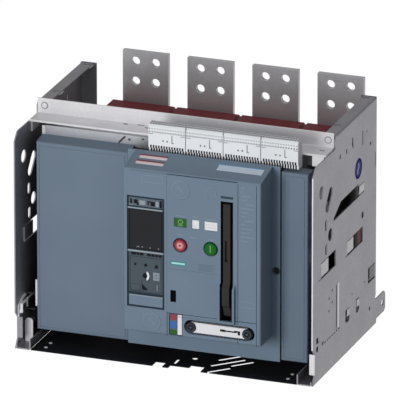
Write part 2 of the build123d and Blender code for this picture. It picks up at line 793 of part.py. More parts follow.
# Operator panel: a raised moulding with a sloped hood, pockets and control openings
rim_half = slot_width / 2 + rim_wall
label_seam = panel_left + label_seam_offset
edge_seam = panel_left + edge_seam_offset
module_left = panel_left + module_offset
panel_seams = [
    ((label_seam - seam_width, label_seam), (panel_bottom, panel_face_top - panel_corner)),
    ((edge_seam - seam_width, edge_seam), (panel_bottom, panel_face_top - panel_corner)),
    ((module_left, slot_centre_x - rim_half), (module_top - seam_width, module_top)),
    ((slot_centre_x + rim_half, label_seam), (module_top - seam_width, module_top)),
    ((label_seam, edge_seam), (module_top - seam_width, module_top)),
    ((module_left, module_left + seam_width), (panel_bottom, module_top)),
]
handle_pivot_depth = panel_front + handle_pivot_setback
handle_pivot_z = slot_bottom + handle_clearance + handle_hub_radius
with BuildPart() as operator_panel:
    with BuildSketch(Plane.YZ.offset(panel_left)):
        side_profile([
            (panel_front, panel_bottom),
            (cover_front, panel_bottom),
            (cover_front, panel_hood_top),
            (panel_front, panel_face_top),
        ])
    extrude(amount=panel_width)
    fillet(operator_panel.edges().group_by(Axis.Y)[0], radius=panel_corner)
    block(
        (flange_left, flange_right),
        (cover_front - panel_flange_thickness, cover_front),
        (panel_flange_bottom, panel_hood_top),
    )
    with BuildSketch(Plane.YZ.offset(slot_centre_x - rim_half)):
        side_profile([
            (panel_front, rim_low),
            (panel_front - rim_stands_out, rim_low + 2.0),
            (panel_front - rim_stands_out, rim_high),
            (panel_front, rim_high + rim_slope),
        ])
    extrude(amount=2 * rim_half)
    with BuildSketch(front_plane(panel_front)):
        window((trip_left, trip_right), (trip_bottom, trip_top))
    extrude(amount=-trip_pocket_depth, mode=Mode.SUBTRACT)
    with BuildSketch(front_plane(panel_front)):
        window((slot_centre_x - slot_width / 2, slot_centre_x + slot_width / 2), (slot_bottom, slot_top))
    extrude(amount=-slot_depth, mode=Mode.SUBTRACT)
    with BuildSketch(front_plane(panel_front - rim_stands_out)):
        window((slot_centre_x - slot_width / 2, slot_centre_x + slot_width / 2), (slot_bottom, slot_top))
    extrude(amount=-rim_stands_out, mode=Mode.SUBTRACT)
    with BuildSketch(front_plane(panel_front)):
        for x, z in panel_seams:
            window(x, z)
    extrude(amount=-seam_depth, mode=Mode.SUBTRACT)
    with BuildSketch(Plane.YZ.offset(slot_centre_x)):
        with Locations((y_at(handle_pivot_depth), handle_pivot_z)):
            Circle(trunnion_radius + trunnion_clearance)
    extrude(amount=slot_width / 2 + trunnion_reach + 1.0, both=True, mode=Mode.SUBTRACT)
    with BuildSketch(front_plane(panel_front)):
        with Locations((middle((crank_left, crank_right)), crank_z)):
            recess = crank_height + 2 * crank_recess_margin
            SlotCenterToCenter(crank_right - crank_left, recess)
    extrude(amount=-crank_recess_depth, mode=Mode.SUBTRACT)
    with BuildSketch(front_plane(panel_front)):
        window((key_slot_left, key_slot_right), (key_slot_bottom, key_slot_top))
    extrude(amount=-key_slot_depth, mode=Mode.SUBTRACT)
    with BuildSketch(front_plane(panel_front)):
        for x in indicator_windows:
            window(x, (indicator_bottom, indicator_top))
        window((position_window_left, position_window_right), (position_window_bottom, position_window_top))
    extrude(amount=-indicator_depth, mode=Mode.SUBTRACT)
    for x in (on_button_x, off_button_x):
        with BuildSketch(front_plane(panel_front)):
            with Locations((x, button_z)):
                Circle(button_bore_radius)
        extrude(amount=-button_well_depth, mode=Mode.SUBTRACT)
        with BuildSketch(front_plane(panel_front)):
            with Locations((x, button_z)):
                Rectangle(button_stem_width + 2 * stem_clearance, button_stem_width + 2 * stem_clearance)
        extrude(amount=-(button_thickness + button_stem_length + 6.0), mode=Mode.SUBTRACT)
    with BuildSketch(front_plane(cover_front - panel_flange_thickness)):
        with Locations((middle((panel_right, flange_right)), side_hole_z)):
            Circle(side_hole_radius)
    extrude(amount=-panel_flange_thickness, mode=Mode.SUBTRACT)
save(operator_panel, "operator_panel")

# Trip unit: plugs into its pocket, with a sunken display and a raised lower lid
with BuildPart() as trip_unit:
    block(
        (trip_left + trip_clearance, trip_right - trip_clearance),
        (panel_front + 1.0, panel_front + trip_pocket_depth),
        (trip_bottom + trip_clearance, trip_top - trip_clearance),
    )
    with BuildSketch(front_plane(panel_front + 1.0)):
        window((trip_left + display_border, trip_right - display_border), (display_bottom, display_top))
    extrude(amount=-2.0, taper=20, mode=Mode.SUBTRACT)
    with BuildSketch(front_plane(panel_front + 1.0)):
        with Locations((dial_x, dial_z)):
            Circle(dial_radius)
        with Locations((latch_x, latch_z)):
            with GridLocations(latch_spacing, 1.0, 3, 1):
                Rectangle(latch_mark_size, latch_mark_size)
        window((trip_left, trip_right), (lid_seam_z, lid_seam_z + lid_seam_width))
    extrude(amount=-1.2, mode=Mode.SUBTRACT)
save(trip_unit, "trip_unit")

# Racking crank: stowed in its recess, a flat bar with a round grip at each end
with BuildPart() as racking_crank:
    crank_floor = panel_front + crank_recess_depth
    with BuildSketch(front_plane(crank_floor - crank_thickness)):
        window((crank_left, crank_right), (crank_z - crank_height / 2, crank_z + crank_height / 2))
    extrude(amount=-crank_thickness)
    with BuildSketch(front_plane(crank_floor)):
        with Locations((crank_left, crank_z), (crank_right, crank_z)):
            Circle(crank_knob_radius)
    extrude(amount=crank_thickness + crank_knob_stands_out)
    chamfer(racking_crank.faces().sort_by(Axis.Y)[0].edges(), length=1.0)
save(racking_crank, "racking_crank")

# Charging handle: swings down and out of its slot on two trunnions
handle_front = panel_front - 1.0
with BuildPart() as charging_handle:
    with BuildSketch(Plane.YZ.offset(slot_centre_x - handle_width / 2)):
        with Locations((y_at(handle_pivot_depth), handle_pivot_z)):
            Circle(handle_hub_radius)
        side_profile([
            (handle_pivot_depth - handle_hub_radius, handle_pivot_z),
            (handle_pivot_depth + handle_hub_radius, handle_pivot_z),
            (handle_front + handle_thickness, handle_pivot_z + handle_bulge_high + handle_bulge_slope),
            (handle_front + handle_thickness, slot_top - handle_clearance),
            (handle_front, slot_top - handle_clearance),
            (handle_front, handle_pivot_z + handle_bulge_high + handle_bulge_slope),
            (handle_front - handle_bulge, handle_pivot_z + handle_bulge_high),
            (handle_front - handle_bulge, handle_pivot_z + handle_bulge_low),
            (handle_front - 1.0, handle_pivot_z + 11.7),
        ])
    extrude(amount=handle_width)
    fillet(charging_handle.edges().filter_by(Axis.X).group_by(Axis.Z)[-1], radius=2.0)
    with BuildSketch(Plane.YZ.offset(slot_centre_x)):
        with Locations((y_at(handle_pivot_depth), handle_pivot_z)):
            Circle(trunnion_radius)
    extrude(amount=slot_width / 2 + trunnion_reach, both=True)
    with BuildSketch(front_plane(handle_front)):
        with Locations((slot_centre_x - 1.5, grip_groove_z)):
            Rectangle(grip_groove_width, grip_groove_length)
    extrude(amount=-grip_groove_width, mode=Mode.SUBTRACT)
save(charging_handle, "charging_handle")


def push_button(x):
    """A round cap on a square guided stem."""
    with BuildPart() as button:
        with BuildSketch(front_plane(panel_front - button_stands_out)):
            with Locations((x, button_z)):
                Circle(button_radius)
        extrude(amount=-button_thickness)
        chamfer(button.edges().group_by(Axis.Y)[0], length=1.2)
        with BuildSketch(front_plane(panel_front - button_stands_out + button_thickness)):
            with Locations((x, button_z)):
                Rectangle(button_stem_width, button_stem_width)
        extrude(amount=-button_stem_length)
    return button


save(push_button(on_button_x), "on_button")
save(push_button(off_button_x), "off_button")
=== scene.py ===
import json
import math

import bmesh
import bpy
from mathutils import Matrix, Vector


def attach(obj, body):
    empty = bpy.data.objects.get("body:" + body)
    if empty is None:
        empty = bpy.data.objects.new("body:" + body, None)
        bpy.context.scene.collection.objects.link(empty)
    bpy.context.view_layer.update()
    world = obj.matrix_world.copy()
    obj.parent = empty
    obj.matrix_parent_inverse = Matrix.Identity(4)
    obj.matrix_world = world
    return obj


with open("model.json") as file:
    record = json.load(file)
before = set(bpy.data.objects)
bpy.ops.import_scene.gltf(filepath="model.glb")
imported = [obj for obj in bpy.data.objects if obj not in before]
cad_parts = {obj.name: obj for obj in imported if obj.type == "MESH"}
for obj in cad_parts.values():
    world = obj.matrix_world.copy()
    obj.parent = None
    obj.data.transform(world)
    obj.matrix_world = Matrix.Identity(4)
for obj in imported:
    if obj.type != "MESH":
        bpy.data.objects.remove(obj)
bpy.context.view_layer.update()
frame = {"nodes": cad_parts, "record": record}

# Places are given in millimetres as on the drawing of the breaker: x from the middle,
# depth behind the side plates' front edges, and height above the floor.
HALF_FRAME_DEPTH = 179.5
PANEL_FACE = -21.0  # depth of the operator panel's front
PLATE_OUTSIDE = 295.0
PLATE_INSIDE = 292.5
REAR_FLANGE = 359.0  # depth of the side plates' rear flanges
BUTTON_HEIGHT = 255.0
OFF_X, ON_X = 42.1, 101.8
GRIP_XS, GRIP_HEIGHT = (63.4, 174.2), 96.0

FRONT = (0.0, -1.0, 0.0)
REAR = (0.0, 1.0, 0.0)
RIGHT = (1.0, 0.0, 0.0)
UP = (0.0, 0.0, 1.0)
CRYSTAL_MM = 6.25  # zinc crystals, a little coarser than real ones so that they show
ROLLING_LINE_MM = 0.04  # height of the lines that rolling leaves; 900 to the metre is about 1 mm apart
EDGE_ANGLE = math.radians(40)


def place(x, depth, height):
    """A point of the drawing, in metres in the model's frame."""
    return Vector((x / 1000, (depth - HALF_FRAME_DEPTH) / 1000, height / 1000))


# Colour and node helpers

def linear(hex_colour):
    """An sRGB hex colour as linear RGBA."""
    parts = [int(hex_colour[i:i + 2], 16) / 255 for i in (1, 3, 5)]
    return [c / 12.92 if c <= 0.04045 else ((c + 0.055) / 1.055) ** 2.4 for c in parts] + [1.0]


def add_node(tree, kind, settings=None, links=None):
    """Add a node, set its sockets or properties, and link its inputs to other nodes' outputs."""
    node = tree.nodes.new(kind)
    for key, value in (settings or {}).items():
        if isinstance(key, int) or key in node.inputs:
            node.inputs[key].default_value = value
        else:
            setattr(node, key, value)
    for key, source in (links or {}).items():
        tree.links.new(source, node.inputs[key])
    return node


def new_material(name):
    """An empty material with its shader and output joined."""
    material = bpy.data.materials.new(name)
    material.use_nodes = True
    tree = material.node_tree
    tree.nodes.clear()
    shader = add_node(tree, "ShaderNodeBsdfPrincipled")
    add_node(tree, "ShaderNodeOutputMaterial", links={"Surface": shader.outputs["BSDF"]})
    return material, tree, shader


def tone_between(tree, dark, light, factor):
    """A colour that runs from dark to light with the factor."""
    ramp = add_node(tree, "ShaderNodeMix", {"data_type": "RGBA"})
    ramp.inputs["A"].default_value = linear(dark)
    ramp.inputs["B"].default_value = linear(light)
    tree.links.new(factor, ramp.inputs["Factor"])
    return [socket for socket in ramp.outputs if socket.type == "RGBA"][0]


def moulded_plastic(name, dark, light, roughness, grain_mm, grain_height_mm, ior=1.53, specular=0.1):
    """A moulded surface with a spark-eroded grain and slightly uneven colour."""
    material, tree, shader = new_material(name)
    where = add_node(tree, "ShaderNodeTexCoord").outputs["Object"]
    cloud = add_node(tree, "ShaderNodeTexNoise", {"Scale": 9.0, "Detail": 3.0}, {"Vector": where})
    grain = add_node(tree, "ShaderNodeTexNoise", {"Scale": 1000 / grain_mm, "Detail": 2.0}, {"Vector": where})
    bump = add_node(
        tree, "ShaderNodeBump", {"Strength": 0.35, "Distance": grain_height_mm / 1000},
        {"Height": grain.outputs["Fac"]},
    )
    gloss = add_node(
        tree, "ShaderNodeMapRange",
        {"To Min": roughness - 0.06, "To Max": roughness + 0.06},
        {"Value": cloud.outputs["Fac"]},
    )
    shader.inputs["IOR"].default_value = ior
    shader.inputs["Specular IOR Level"].default_value = specular
    tree.links.new(tone_between(tree, dark, light, cloud.outputs["Fac"]), shader.inputs["Base Color"])
    tree.links.new(gloss.outputs["Result"], shader.inputs["Roughness"])
    tree.links.new(bump.outputs["Normal"], shader.inputs["Normal"])
    return material


def zinc_sheet(name, dark, light, roughness, metallic, streaks_per_metre=(40.0, 900.0, 40.0)):
    """Coated rolled sheet: fine rolling lines, cloudy crystals and a dull shine."""
    material, tree, shader = new_material(name)
    where = add_node(tree, "ShaderNodeTexCoord").outputs["Object"]
    cloud = add_node(tree, "ShaderNodeTexNoise", {"Scale": 14.0, "Detail": 4.0}, {"Vector": where})
    crystals = add_node(tree, "ShaderNodeTexVoronoi", {"Scale": 1000 / CRYSTAL_MM}, {"Vector": where})
    stretched = add_node(tree, "ShaderNodeMapping", {"Scale": streaks_per_metre}, {"Vector": where})
    lines = add_node(
        tree, "ShaderNodeTexNoise", {"Scale": 1.0, "Detail": 3.0}, {"Vector": stretched.outputs["Vector"]}
    )
    blend = add_node(
        tree, "ShaderNodeMath", {"operation": "MULTIPLY_ADD", "use_clamp": True, 1: 0.35},
        {0: crystals.outputs["Distance"], 2: cloud.outputs["Fac"]},
    )
    gloss = add_node(
        tree, "ShaderNodeMapRange",
        {"To Min": roughness - 0.07, "To Max": roughness + 0.07},
        {"Value": lines.outputs["Fac"]},
    )
    bump = add_node(
        tree, "ShaderNodeBump", {"Strength": 0.12, "Distance": ROLLING_LINE_MM / 1000},
        {"Height": lines.outputs["Fac"]},
    )
    shader.inputs["Metallic"].default_value = metallic
    tree.links.new(tone_between(tree, dark, light, blend.outputs["Value"]), shader.inputs["Base Color"])
    tree.links.new(gloss.outputs["Result"], shader.inputs["Roughness"])
    tree.links.new(bump.outputs["Normal"], shader.inputs["Normal"])
    return material


# Rolled sheet: dark and light tone, roughness, metallic share and, where they differ, its streaks
# to the metre each way
SHEETS = {
    # Galvanised steel: dull grey with a faint crystal pattern
    "galvanised_steel": ("#8a898f", "#a3a2a8", 0.5, 0.9),
    # Bright zinc-plated steel: paler and a little shinier, rolled crosswise
    "zinc_plated_steel": ("#d2d1d5", "#e8e7ea", 0.42, 0.5, (900.0, 40.0, 40.0)),
    # Dull zinc-plated tabs: pale, with little mirror in them; the same tone paints highlights on the side plates'
    # edges and tongues
    "dull_zinc_and_highlight": ("#dddde1", "#f0f0f3", 0.5, 0.3),
    # The same plate darkened as painted shade, where it leans away from the light
    "painted_shade_zinc": ("#6f6e73", "#807f84", 0.5, 0.6),
    # Aluminium-zinc coated sheet of the wiring cover: silvery grey; it also paints the highlight on the side
    # plates' pressed rib
    "aluminium_zinc_and_rib_highlight": ("#bec0c5", "#d0d2d7", 0.45, 0.85),
    # Phosphated steel of the rails and runners: nearly black, oily
    "phosphated_steel": ("#38383b", "#4a4a4e", 0.4, 0.7),
    # Tin-plated copper: soft grey metal, rolled lengthwise
    "tin_plated_copper": ("#c0bfc2", "#d4d3d6", 0.42, 0.4, (700.0, 700.0, 30.0)),
}
# Mouldings: dark and light tone, roughness, grain width and height in mm and, where they differ,
# IOR and specular level
MOULDINGS = {
    # Powder-coated steel: black with a fine orange-peel texture
    "black_powder_coat": ("#121216", "#1d1e23", 0.42, 1.6, 0.05),
    # Glass-filled polyester moulding: deep red-brown, matt
    "polyester_moulding": ("#752e34", "#914147", 0.5, 1.2, 0.06, 1.55),
    # Polyamide terminal block: pale grey, satin
    "pale_polyamide": ("#dde1e4", "#f0f2f4", 0.42, 0.7, 0.02),
    # Glass-filled case moulding: near black, matt
    "case_moulding": ("#26282b", "#33363a", 0.55, 1.4, 0.06, 1.55),
    # Arc chute moulding: dark grey, matt
    "chute_moulding": ("#2f3134", "#3d4044", 0.6, 1.4, 0.06, 1.55),
    # Blue-grey ABS blend of the covers: satin, finely grained
    "cover_abs": ("#697888", "#738292", 0.42, 0.9, 0.03, 1.54),
    # The same ABS blend on the operator panel
    "panel_abs": ("#6c7d8c", "#76879a", 0.4, 0.9, 0.03, 1.54),
    # Trip unit housing: dark slate plastic
    "trip_polycarbonate": ("#475057", "#525c64", 0.45, 0.8, 0.02, 1.58),
    # Handle moulding: warm dark grey polyamide
    "handle_polyamide": ("#2d2c2c", "#383635", 0.45, 0.9, 0.03),
    # Green and red button caps: moulded right through, glossy; the paler red is a painted sheen on the off cap
    "green_cap": ("#155c1d", "#1d7026", 0.28, 0.8, 0.01),
    "red_cap": ("#842c35", "#963741", 0.28, 0.8, 0.01),
    "red_cap_sheen": ("#a64a52", "#b3565d", 0.28, 0.8, 0.01),
    # Knurled rubber of the crank's grips
    "grip_rubber": ("#222427", "#2e3033", 0.6, 1.6, 0.08, 1.52),
    # White and coloured plates of the indicators
    "white_abs": ("#dfe0e4", "#ebebee", 0.35, 0.8, 0.01),
    "grey_mark": ("#b2b4ba", "#bfc1c6", 0.4, 0.8, 0.01),
    "green_plate": ("#2b5c1e", "#356a28", 0.35, 0.8, 0.01),
    "red_plate": ("#93404f", "#a34857", 0.35, 0.8, 0.01),
    "blue_plate": ("#3f66a3", "#4d76b3", 0.35, 0.8, 0.01),
    "teal_plate": ("#2f8488", "#3b9599", 0.35, 0.8, 0.01),
    "pale_teal_mark": ("#a9d9d5", "#b8e3df", 0.35, 0.8, 0.01),
    "pale_green_mark": ("#7f9f6e", "#8fae7e", 0.4, 0.8, 0.01),
    "pale_rose_mark": ("#cb9897", "#d8a7a5", 0.35, 0.8, 0.01),
    "rose_label": ("#dfcdd0", "#eadcdf", 0.4, 0.8, 0.01),
    "label_edge": ("#7c3540", "#8e404b", 0.4, 0.8, 0.01),
    "pale_blue_label": ("#bccddd", "#cbd9e6", 0.4, 0.8, 0.01),
    "blue_label_edge": ("#5f88ad", "#6c94b8", 0.4, 0.8, 0.01),
    # Moulded black trim, and painted shade in openings, deep grooves, seams and gaps; the lit line is a painted
    # highlight
    "black_moulding_and_shade": ("#101215", "#191c20", 0.5, 0.8, 0.02),
    "deep_shadow": ("#050608", "#08090c", 0.8, 0.8, 0.02, 1.53, 0.05),
    "seam_shadow": ("#36444f", "#404f5b", 0.6, 0.8, 0.02),
    "painted_shade_line": ("#56666f", "#60707c", 0.5, 0.8, 0.02),
    "painted_highlight_line": ("#7e8e9c", "#8a9aa7", 0.45, 0.8, 0.02),
    # Slate-coloured ABS of the trip unit's front, in three tones; the dark tone also paints shade in the panel's
    # seams, the middle tone highlight rings on the crank's grips
    "dark_slate_abs_and_seam_shade": ("#222d37", "#2b3742", 0.5, 0.8, 0.02),
    "slate_abs": ("#59666f", "#636f79", 0.45, 0.8, 0.02),
    "pale_slate_abs": ("#8d979f", "#9aa3ab", 0.42, 0.8, 0.02),
    # Engraved marks and wire entries of the terminal blocks
    "terminal_mark": ("#6d7074", "#7b7e82", 0.6, 0.8, 0.02),
    # Punched openings in the bright sheet, in shadow
    "steel_shadow": ("#3f3f43", "#4b4b50", 0.6, 0.8, 0.02),
    # Display window: smoked acrylic, glossy
    "smoked_acrylic": ("#232629", "#2a2c2f", 0.12, 3.0, 0.002, 1.49),
    # Printed disc on the side plate
    "violet_film": ("#6f69c9", "#7f79d6", 0.6, 1.0, 0.005, 1.53, 0.0),
    "deep_violet_film": ("#241d7e", "#2f2790", 0.6, 1.0, 0.005, 1.53, 0.0),
    "white_film": ("#eceaf6", "#f6f4fd", 0.6, 1.0, 0.005, 1.53, 0.0),
}
finish = {name: zinc_sheet(name, *look) for name, look in SHEETS.items()}
finish.update((name, moulded_plastic(name, *look)) for name, look in MOULDINGS.items())

slot_finish = {
    "galvanised_sheet": "galvanised_steel",
    "bright_steel": "zinc_plated_steel",
    "black_sheet": "black_powder_coat",
    "plated_bar": "tin_plated_copper",
    "housing_moulding": "polyester_moulding",
    "terminal_plastic": "pale_polyamide",
    "case_plastic": "case_moulding",
    "chute_plastic": "chute_moulding",
    "cover_plastic": "cover_abs",
    "panel_plastic": "panel_abs",
    "trip_plastic": "trip_polycarbonate",
    "dark_plastic": "handle_polyamide",
    "green_plastic": "green_cap",
    "red_plastic": "red_cap",
}
for part in frame["record"]["subparts"]:
    node = frame["nodes"][part["node"]]
    node.data.materials.clear()
    node.data.materials.append(finish[slot_finish[part["material_slot"]]])
for name, own in (
    ("guide_rail_left", "phosphated_steel"), ("guide_rail_right", "phosphated_steel"),
    ("runner_left", "phosphated_steel"), ("runner_right", "phosphated_steel"), ("rail_latch", "dull_zinc_and_highlight"),
    ("rail_channel_left", "galvanised_steel"), ("rail_channel_right", "galvanised_steel"),
    ("stop_tab", "dull_zinc_and_highlight"), ("wiring_cover", "aluminium_zinc_and_rib_highlight"),
):
    frame["nodes"][name].data.materials[0] = finish[own]


# Mesh helpers: each adds to a bmesh, in drawing millimetres

def add_slab(mesh, x, depth, height):
    """A rectangular piece between two values each way."""
    low, high = place(x[0], depth[0], height[0]), place(x[1], depth[1], height[1])
    size = high - low
    middle = Matrix.Translation((low + high) / 2) @ Matrix.Diagonal((*size, 1.0))
    bmesh.ops.create_cube(mesh, size=1.0, matrix=middle)


def both_sides(inner, outer):
    """The X ends of a piece of the left side and of its mirror image on the right."""
    return [sorted((side * inner, side * outer)) for side in (-1, 1)]


def square_axes(axis):
    """The axis and two directions square to it and to each other."""
    forward = Vector(axis).normalized()
    across = forward.orthogonal().normalized()
    return forward, across, forward.cross(across)


def add_turned(mesh, centre, axis, rows, segments=32, six_sided=()):
    """A turned piece: rows of radius and reach along the axis; some rows may be six-sided."""
    forward, across, beside = square_axes(axis)
    rings = []
    for index, (radius, reach) in enumerate(rows):
        ring = []
        for step in range(segments):
            angle = 2 * math.pi * step / segments
            span = radius
            if index in six_sided:
                span = radius / math.cos((angle % (math.pi / 3)) - math.pi / 6) * math.cos(math.pi / 6)
            out = across * math.cos(angle) + beside * math.sin(angle)
            ring.append(mesh.verts.new(centre + out * span / 1000 + forward * reach / 1000))
        rings.append(ring)
    for inner, outer in zip(rings, rings[1:]):
        for step in range(segments):
            following = (step + 1) % segments
            mesh.faces.new((inner[step], inner[following], outer[following], outer[step]))
    mesh.faces.new(rings[-1])
    mesh.faces.new(list(reversed(rings[0])))


def add_disc(mesh, centre, axis, radius, thickness, segments=32):
    """A plain round plate."""
    add_turned(mesh, centre, axis, [(radius, 0.0), (radius, thickness)], segments)


def add_ring(mesh, centre, axis, outer, inner, thickness, segments=40):
    """A flat ring."""
    forward, across, beside = square_axes(axis)
    angles = [2 * math.pi * step / segments for step in range(segments)]
    outs = [across * math.cos(angle) + beside * math.sin(angle) for angle in angles]
    rings = []
    for radius, reach in ((inner, 0.0), (outer, 0.0), (outer, thickness), (inner, thickness)):
        rings.append([mesh.verts.new(centre + out * radius / 1000 + forward * reach / 1000) for out in outs])
    for a, b in zip(rings, rings[1:] + rings[:1]):
        for step in range(segments):
            following = (step + 1) % segments
            mesh.faces.new((a[step], a[following], b[following], b[step]))


def add_extruded(mesh, outline, front, back):
    """A flat shape on the panel, given by its corners' x and height, between two depths."""
    near = [mesh.verts.new(place(x, front, height)) for x, height in outline]
    far = [mesh.verts.new(place(x, back, height)) for x, height in outline]
    mesh.faces.new(near)
    mesh.faces.new(list(reversed(far)))
    for step in range(len(outline)):
        following = (step + 1) % len(outline)
        mesh.faces.new((near[step], far[step], far[following], near[following]))


def add_outline(mesh, x, height, depth, line, stands):
    """A thin rectangular line that stands out of the panel's face."""
    front, back = depth - stands, depth + 0.3
    add_slab(mesh, (x[0], x[1]), (front, back), (height[1] - line, height[1]))
    add_slab(mesh, (x[0], x[1]), (front, back), (height[0], height[0] + line))
    add_slab(mesh, (x[0], x[0] + line), (front, back), (height[0] + line, height[1] - line))
    add_slab(mesh, (x[1] - line, x[1]), (front, back), (height[0] + line, height[1] - line))


def soften(piece, width_mm):
    """Round a piece's sharp edges finely."""
    bevel = piece.modifiers.new("edge", "BEVEL")
    bevel.width = width_mm / 1000
    bevel.segments = 2
    bevel.limit_method = "ANGLE"
    bevel.angle_limit = EDGE_ANGLE


def finished(mesh, name, body, material, edge_mm=0.0):
    """Turn the bmesh into a piece that rides on a body and has a finish."""
    bmesh.ops.recalc_face_normals(mesh, faces=mesh.faces)
    data = bpy.data.meshes.new(name)
    mesh.to_mesh(data)
    mesh.free()
    piece = bpy.data.objects.new(name, data)
    bpy.context.scene.collection.objects.link(piece)
    data.materials.append(finish[material])
    if edge_mm:
        soften(piece, edge_mm)
    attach(piece, body)


def slabs_finished(name, body, material, slabs, edge_mm=0.0):
    """A piece made only of slabs, each given by its x, depth and height."""
    mesh = bmesh.new()
    for x, depth, height in slabs:
        add_slab(mesh, x, depth, height)
    finished(mesh, name, body, material, edge_mm)


PAN_HEAD = [(1.0, 0.0), (1.0, 0.35), (0.8, 0.62), (0.52, 0.68), (0.5, 0.2), (0.02, 0.2)]


def add_screw(mesh, centre, axis, radius):
    """A pan-head screw with a six-sided socket."""
    rows = [(r * radius, h * radius) for r, h in PAN_HEAD]
    add_turned(mesh, centre, axis, rows, 24, six_sided=(3, 4))


# Edges of the pressed and moulded pieces catch the light
node_edges = {
    "left_cover": 0.5, "right_cover": 0.5, "operator_panel": 0.4, "trip_unit": 0.4, "wiring_cover": 0.5,
    "top_crossbar": 0.5, "racking_crank": 0.3, "stop_tab": 0.4, "floor_plate": 0.4, "mechanism_box": 0.8,
    "switch_case": 1.0, "rear_beam_upper": 0.4, "rear_beam_lower": 0.4, "charging_handle": 0.4,
}
for number in range(1, 5):
    node_edges[f"contact_housing_{number}"] = 1.0
    node_edges[f"upper_terminal_bar_{number}"] = 0.5
    node_edges[f"lower_terminal_bar_{number}"] = 0.5
    node_edges[f"aux_terminal_block_{number}"] = 0.4
for name, width in node_edges.items():
    weld = frame["nodes"][name].modifiers.new("weld", "WELD")
    weld.merge_threshold = 0.00001
    soften(frame["nodes"][name], width)

# Trip unit: strip of symbols, display, keys and lower lid, inside a dark frame
UNIT_FACE = -20.0
mesh = bmesh.new()
add_outline(mesh, (-62.2, 9.5), (123.4, 340.6), UNIT_FACE, 2.6, 0.5)
add_slab(mesh, (-60.0, 7.2), (-20.4, -19.0), (146.6, 152.0))
add_slab(mesh, (-60.0, 7.2), (-20.3, -19.0), (318.6, 321.6))
finished(mesh, "trip_frame", "breaker", "dark_slate_abs_and_seam_shade", 0.3)
slabs_finished("trip_top_strip", "breaker", "slate_abs", [
    ((-59.6, 6.9), (-20.3, -19.5), (321.6, 338.0)),
], 0.3)
slabs_finished("trip_display", "breaker", "smoked_acrylic", [
    ((-59.6, 6.9), (-20.2, -18.0), (235.6, 316.0)),
], 0.5)
mesh = bmesh.new()
add_outline(mesh, (-59.6, 6.9), (235.6, 316.0), -20.2, 2.4, 0.25)
finished(mesh, "trip_display_edge", "breaker", "black_moulding_and_shade", 0.2)
slabs_finished("trip_marks", "breaker", "black_moulding_and_shade", [
    ((-57.0, -53.0), (-20.7, -20.0), (325.0, 335.0)),
    ((-49.5, -42.0), (-20.8, -20.0), (326.5, 334.5)),
    ((-44.0, -40.0), (-20.7, -20.0), (323.5, 328.0)),
    ((-23.5, -12.0), (-20.7, -20.0), (331.0, 333.5)),
    ((-16.5, -8.0), (-20.8, -20.0), (324.5, 333.0)),
    ((-22.5, -20.0), (-20.7, -20.0), (325.0, 331.0)),
    ((1.0, 6.0), (-20.8, -20.0), (322.5, 336.5)),
], 0.2)
slabs_finished("trip_pale_marks", "breaker", "pale_slate_abs", [
    ((-38.5, -27.0), (-20.6, -20.0), (325.0, 333.5)),
    ((-59.0, -51.5), (-20.6, -20.0), (323.0, 324.2)),
    ((-6.5, -0.5), (-20.6, -20.0), (324.0, 334.0)),
], 0.2)
slabs_finished("trip_bright_lines", "breaker", "pale_slate_abs", [
    ((-62.0, 7.2), (-20.8, -19.5), (315.9, 318.8)),
    ((-62.0, 8.6), (-20.8, -19.5), (231.2, 234.6)),
    ((-59.6, 6.9), (-20.9, -19.5), (144.6, 146.6)),
], 0.3)
mesh = bmesh.new()
for x, width in ((-55.0, 9.0), (-44.5, 5.0), (-38.0, 7.0), (-23.5, 7.0), (-15.0, 6.0), (-7.5, 5.0), (-1.0, 6.0)):
    add_slab(mesh, (x, x + width), (-20.9, -19.6), (225.2, 230.2))
for x, radius in ((-46.8, 1.9), (-26.6, 3.0), (-5.4, 2.7)):
    add_turned(
        mesh, place(x, UNIT_FACE, 206.8), FRONT,
        [(radius, 0.0), (radius, 0.8), (radius * 0.7, 1.2), (0.1, 1.2)], 24,
    )
add_slab(mesh, (-9.0, -1.8), (-20.7, -19.6), (202.6, 204.6))
add_turned(mesh, place(-27.6, UNIT_FACE, 185.8), FRONT, [(4.9, 0.0), (4.9, 0.9), (4.2, 1.3), (0.1, 1.3)], 28)
finished(mesh, "trip_keys", "breaker", "black_moulding_and_shade", 0.2)
mesh = bmesh.new()
corners = [(-35.0, 176.0), (-33.4, 168.0), (-23.6, 160.0), (-23.6, 157.4), (-33.0, 157.4), (-33.6, 162.0)]
add_extruded(mesh, corners, UNIT_FACE - 0.7, UNIT_FACE + 0.2)
finished(mesh, "trip_flag", "breaker", "black_moulding_and_shade")
mesh = bmesh.new()
rounded = [(-24.6 + 5.6 * math.sin(a), 185.8 + 8.6 * math.cos(a)) for a in (math.pi * s / 12 for s in range(13))]
add_extruded(mesh, rounded, UNIT_FACE - 1.0, UNIT_FACE + 0.2)
finished(mesh, "trip_slider", "breaker", "white_abs")
slabs_finished("trip_key_cover", "breaker", "pale_slate_abs", [
    ((-11.4, 1.0), (-20.8, -19.5), (178.6, 194.0)),
], 0.5)
mesh = bmesh.new()
for height in (183.6, 189.0):
    add_slab(mesh, (-9.5, -0.8), (-20.95, -20.7), (height - 0.5, height + 0.5))
for x in (-8.0, -4.4, -0.8):
    add_slab(mesh, (x - 0.4, x + 0.4), (-20.95, -20.7), (180.0, 192.6))
finished(mesh, "trip_key_cover_grid", "breaker", "slate_abs")
slabs_finished("trip_lower_lid", "breaker", "panel_abs", [
    ((-59.6, 6.9), (-20.6, -19.0), (126.0, 144.6)),
], 0.6)
mesh = bmesh.new()
add_outline(mesh, (-57.0, -37.0), (154.5, 167.5), UNIT_FACE, 0.6, 0.25)
add_outline(mesh, (-57.6, 4.6), (153.6, 222.0), UNIT_FACE, 0.7, 0.25)
add_slab(mesh, (-8.0, -2.0), (-20.3, -19.8), (171.5, 172.5))
finished(mesh, "trip_key_lines", "breaker", "dark_slate_abs_and_seam_shade")
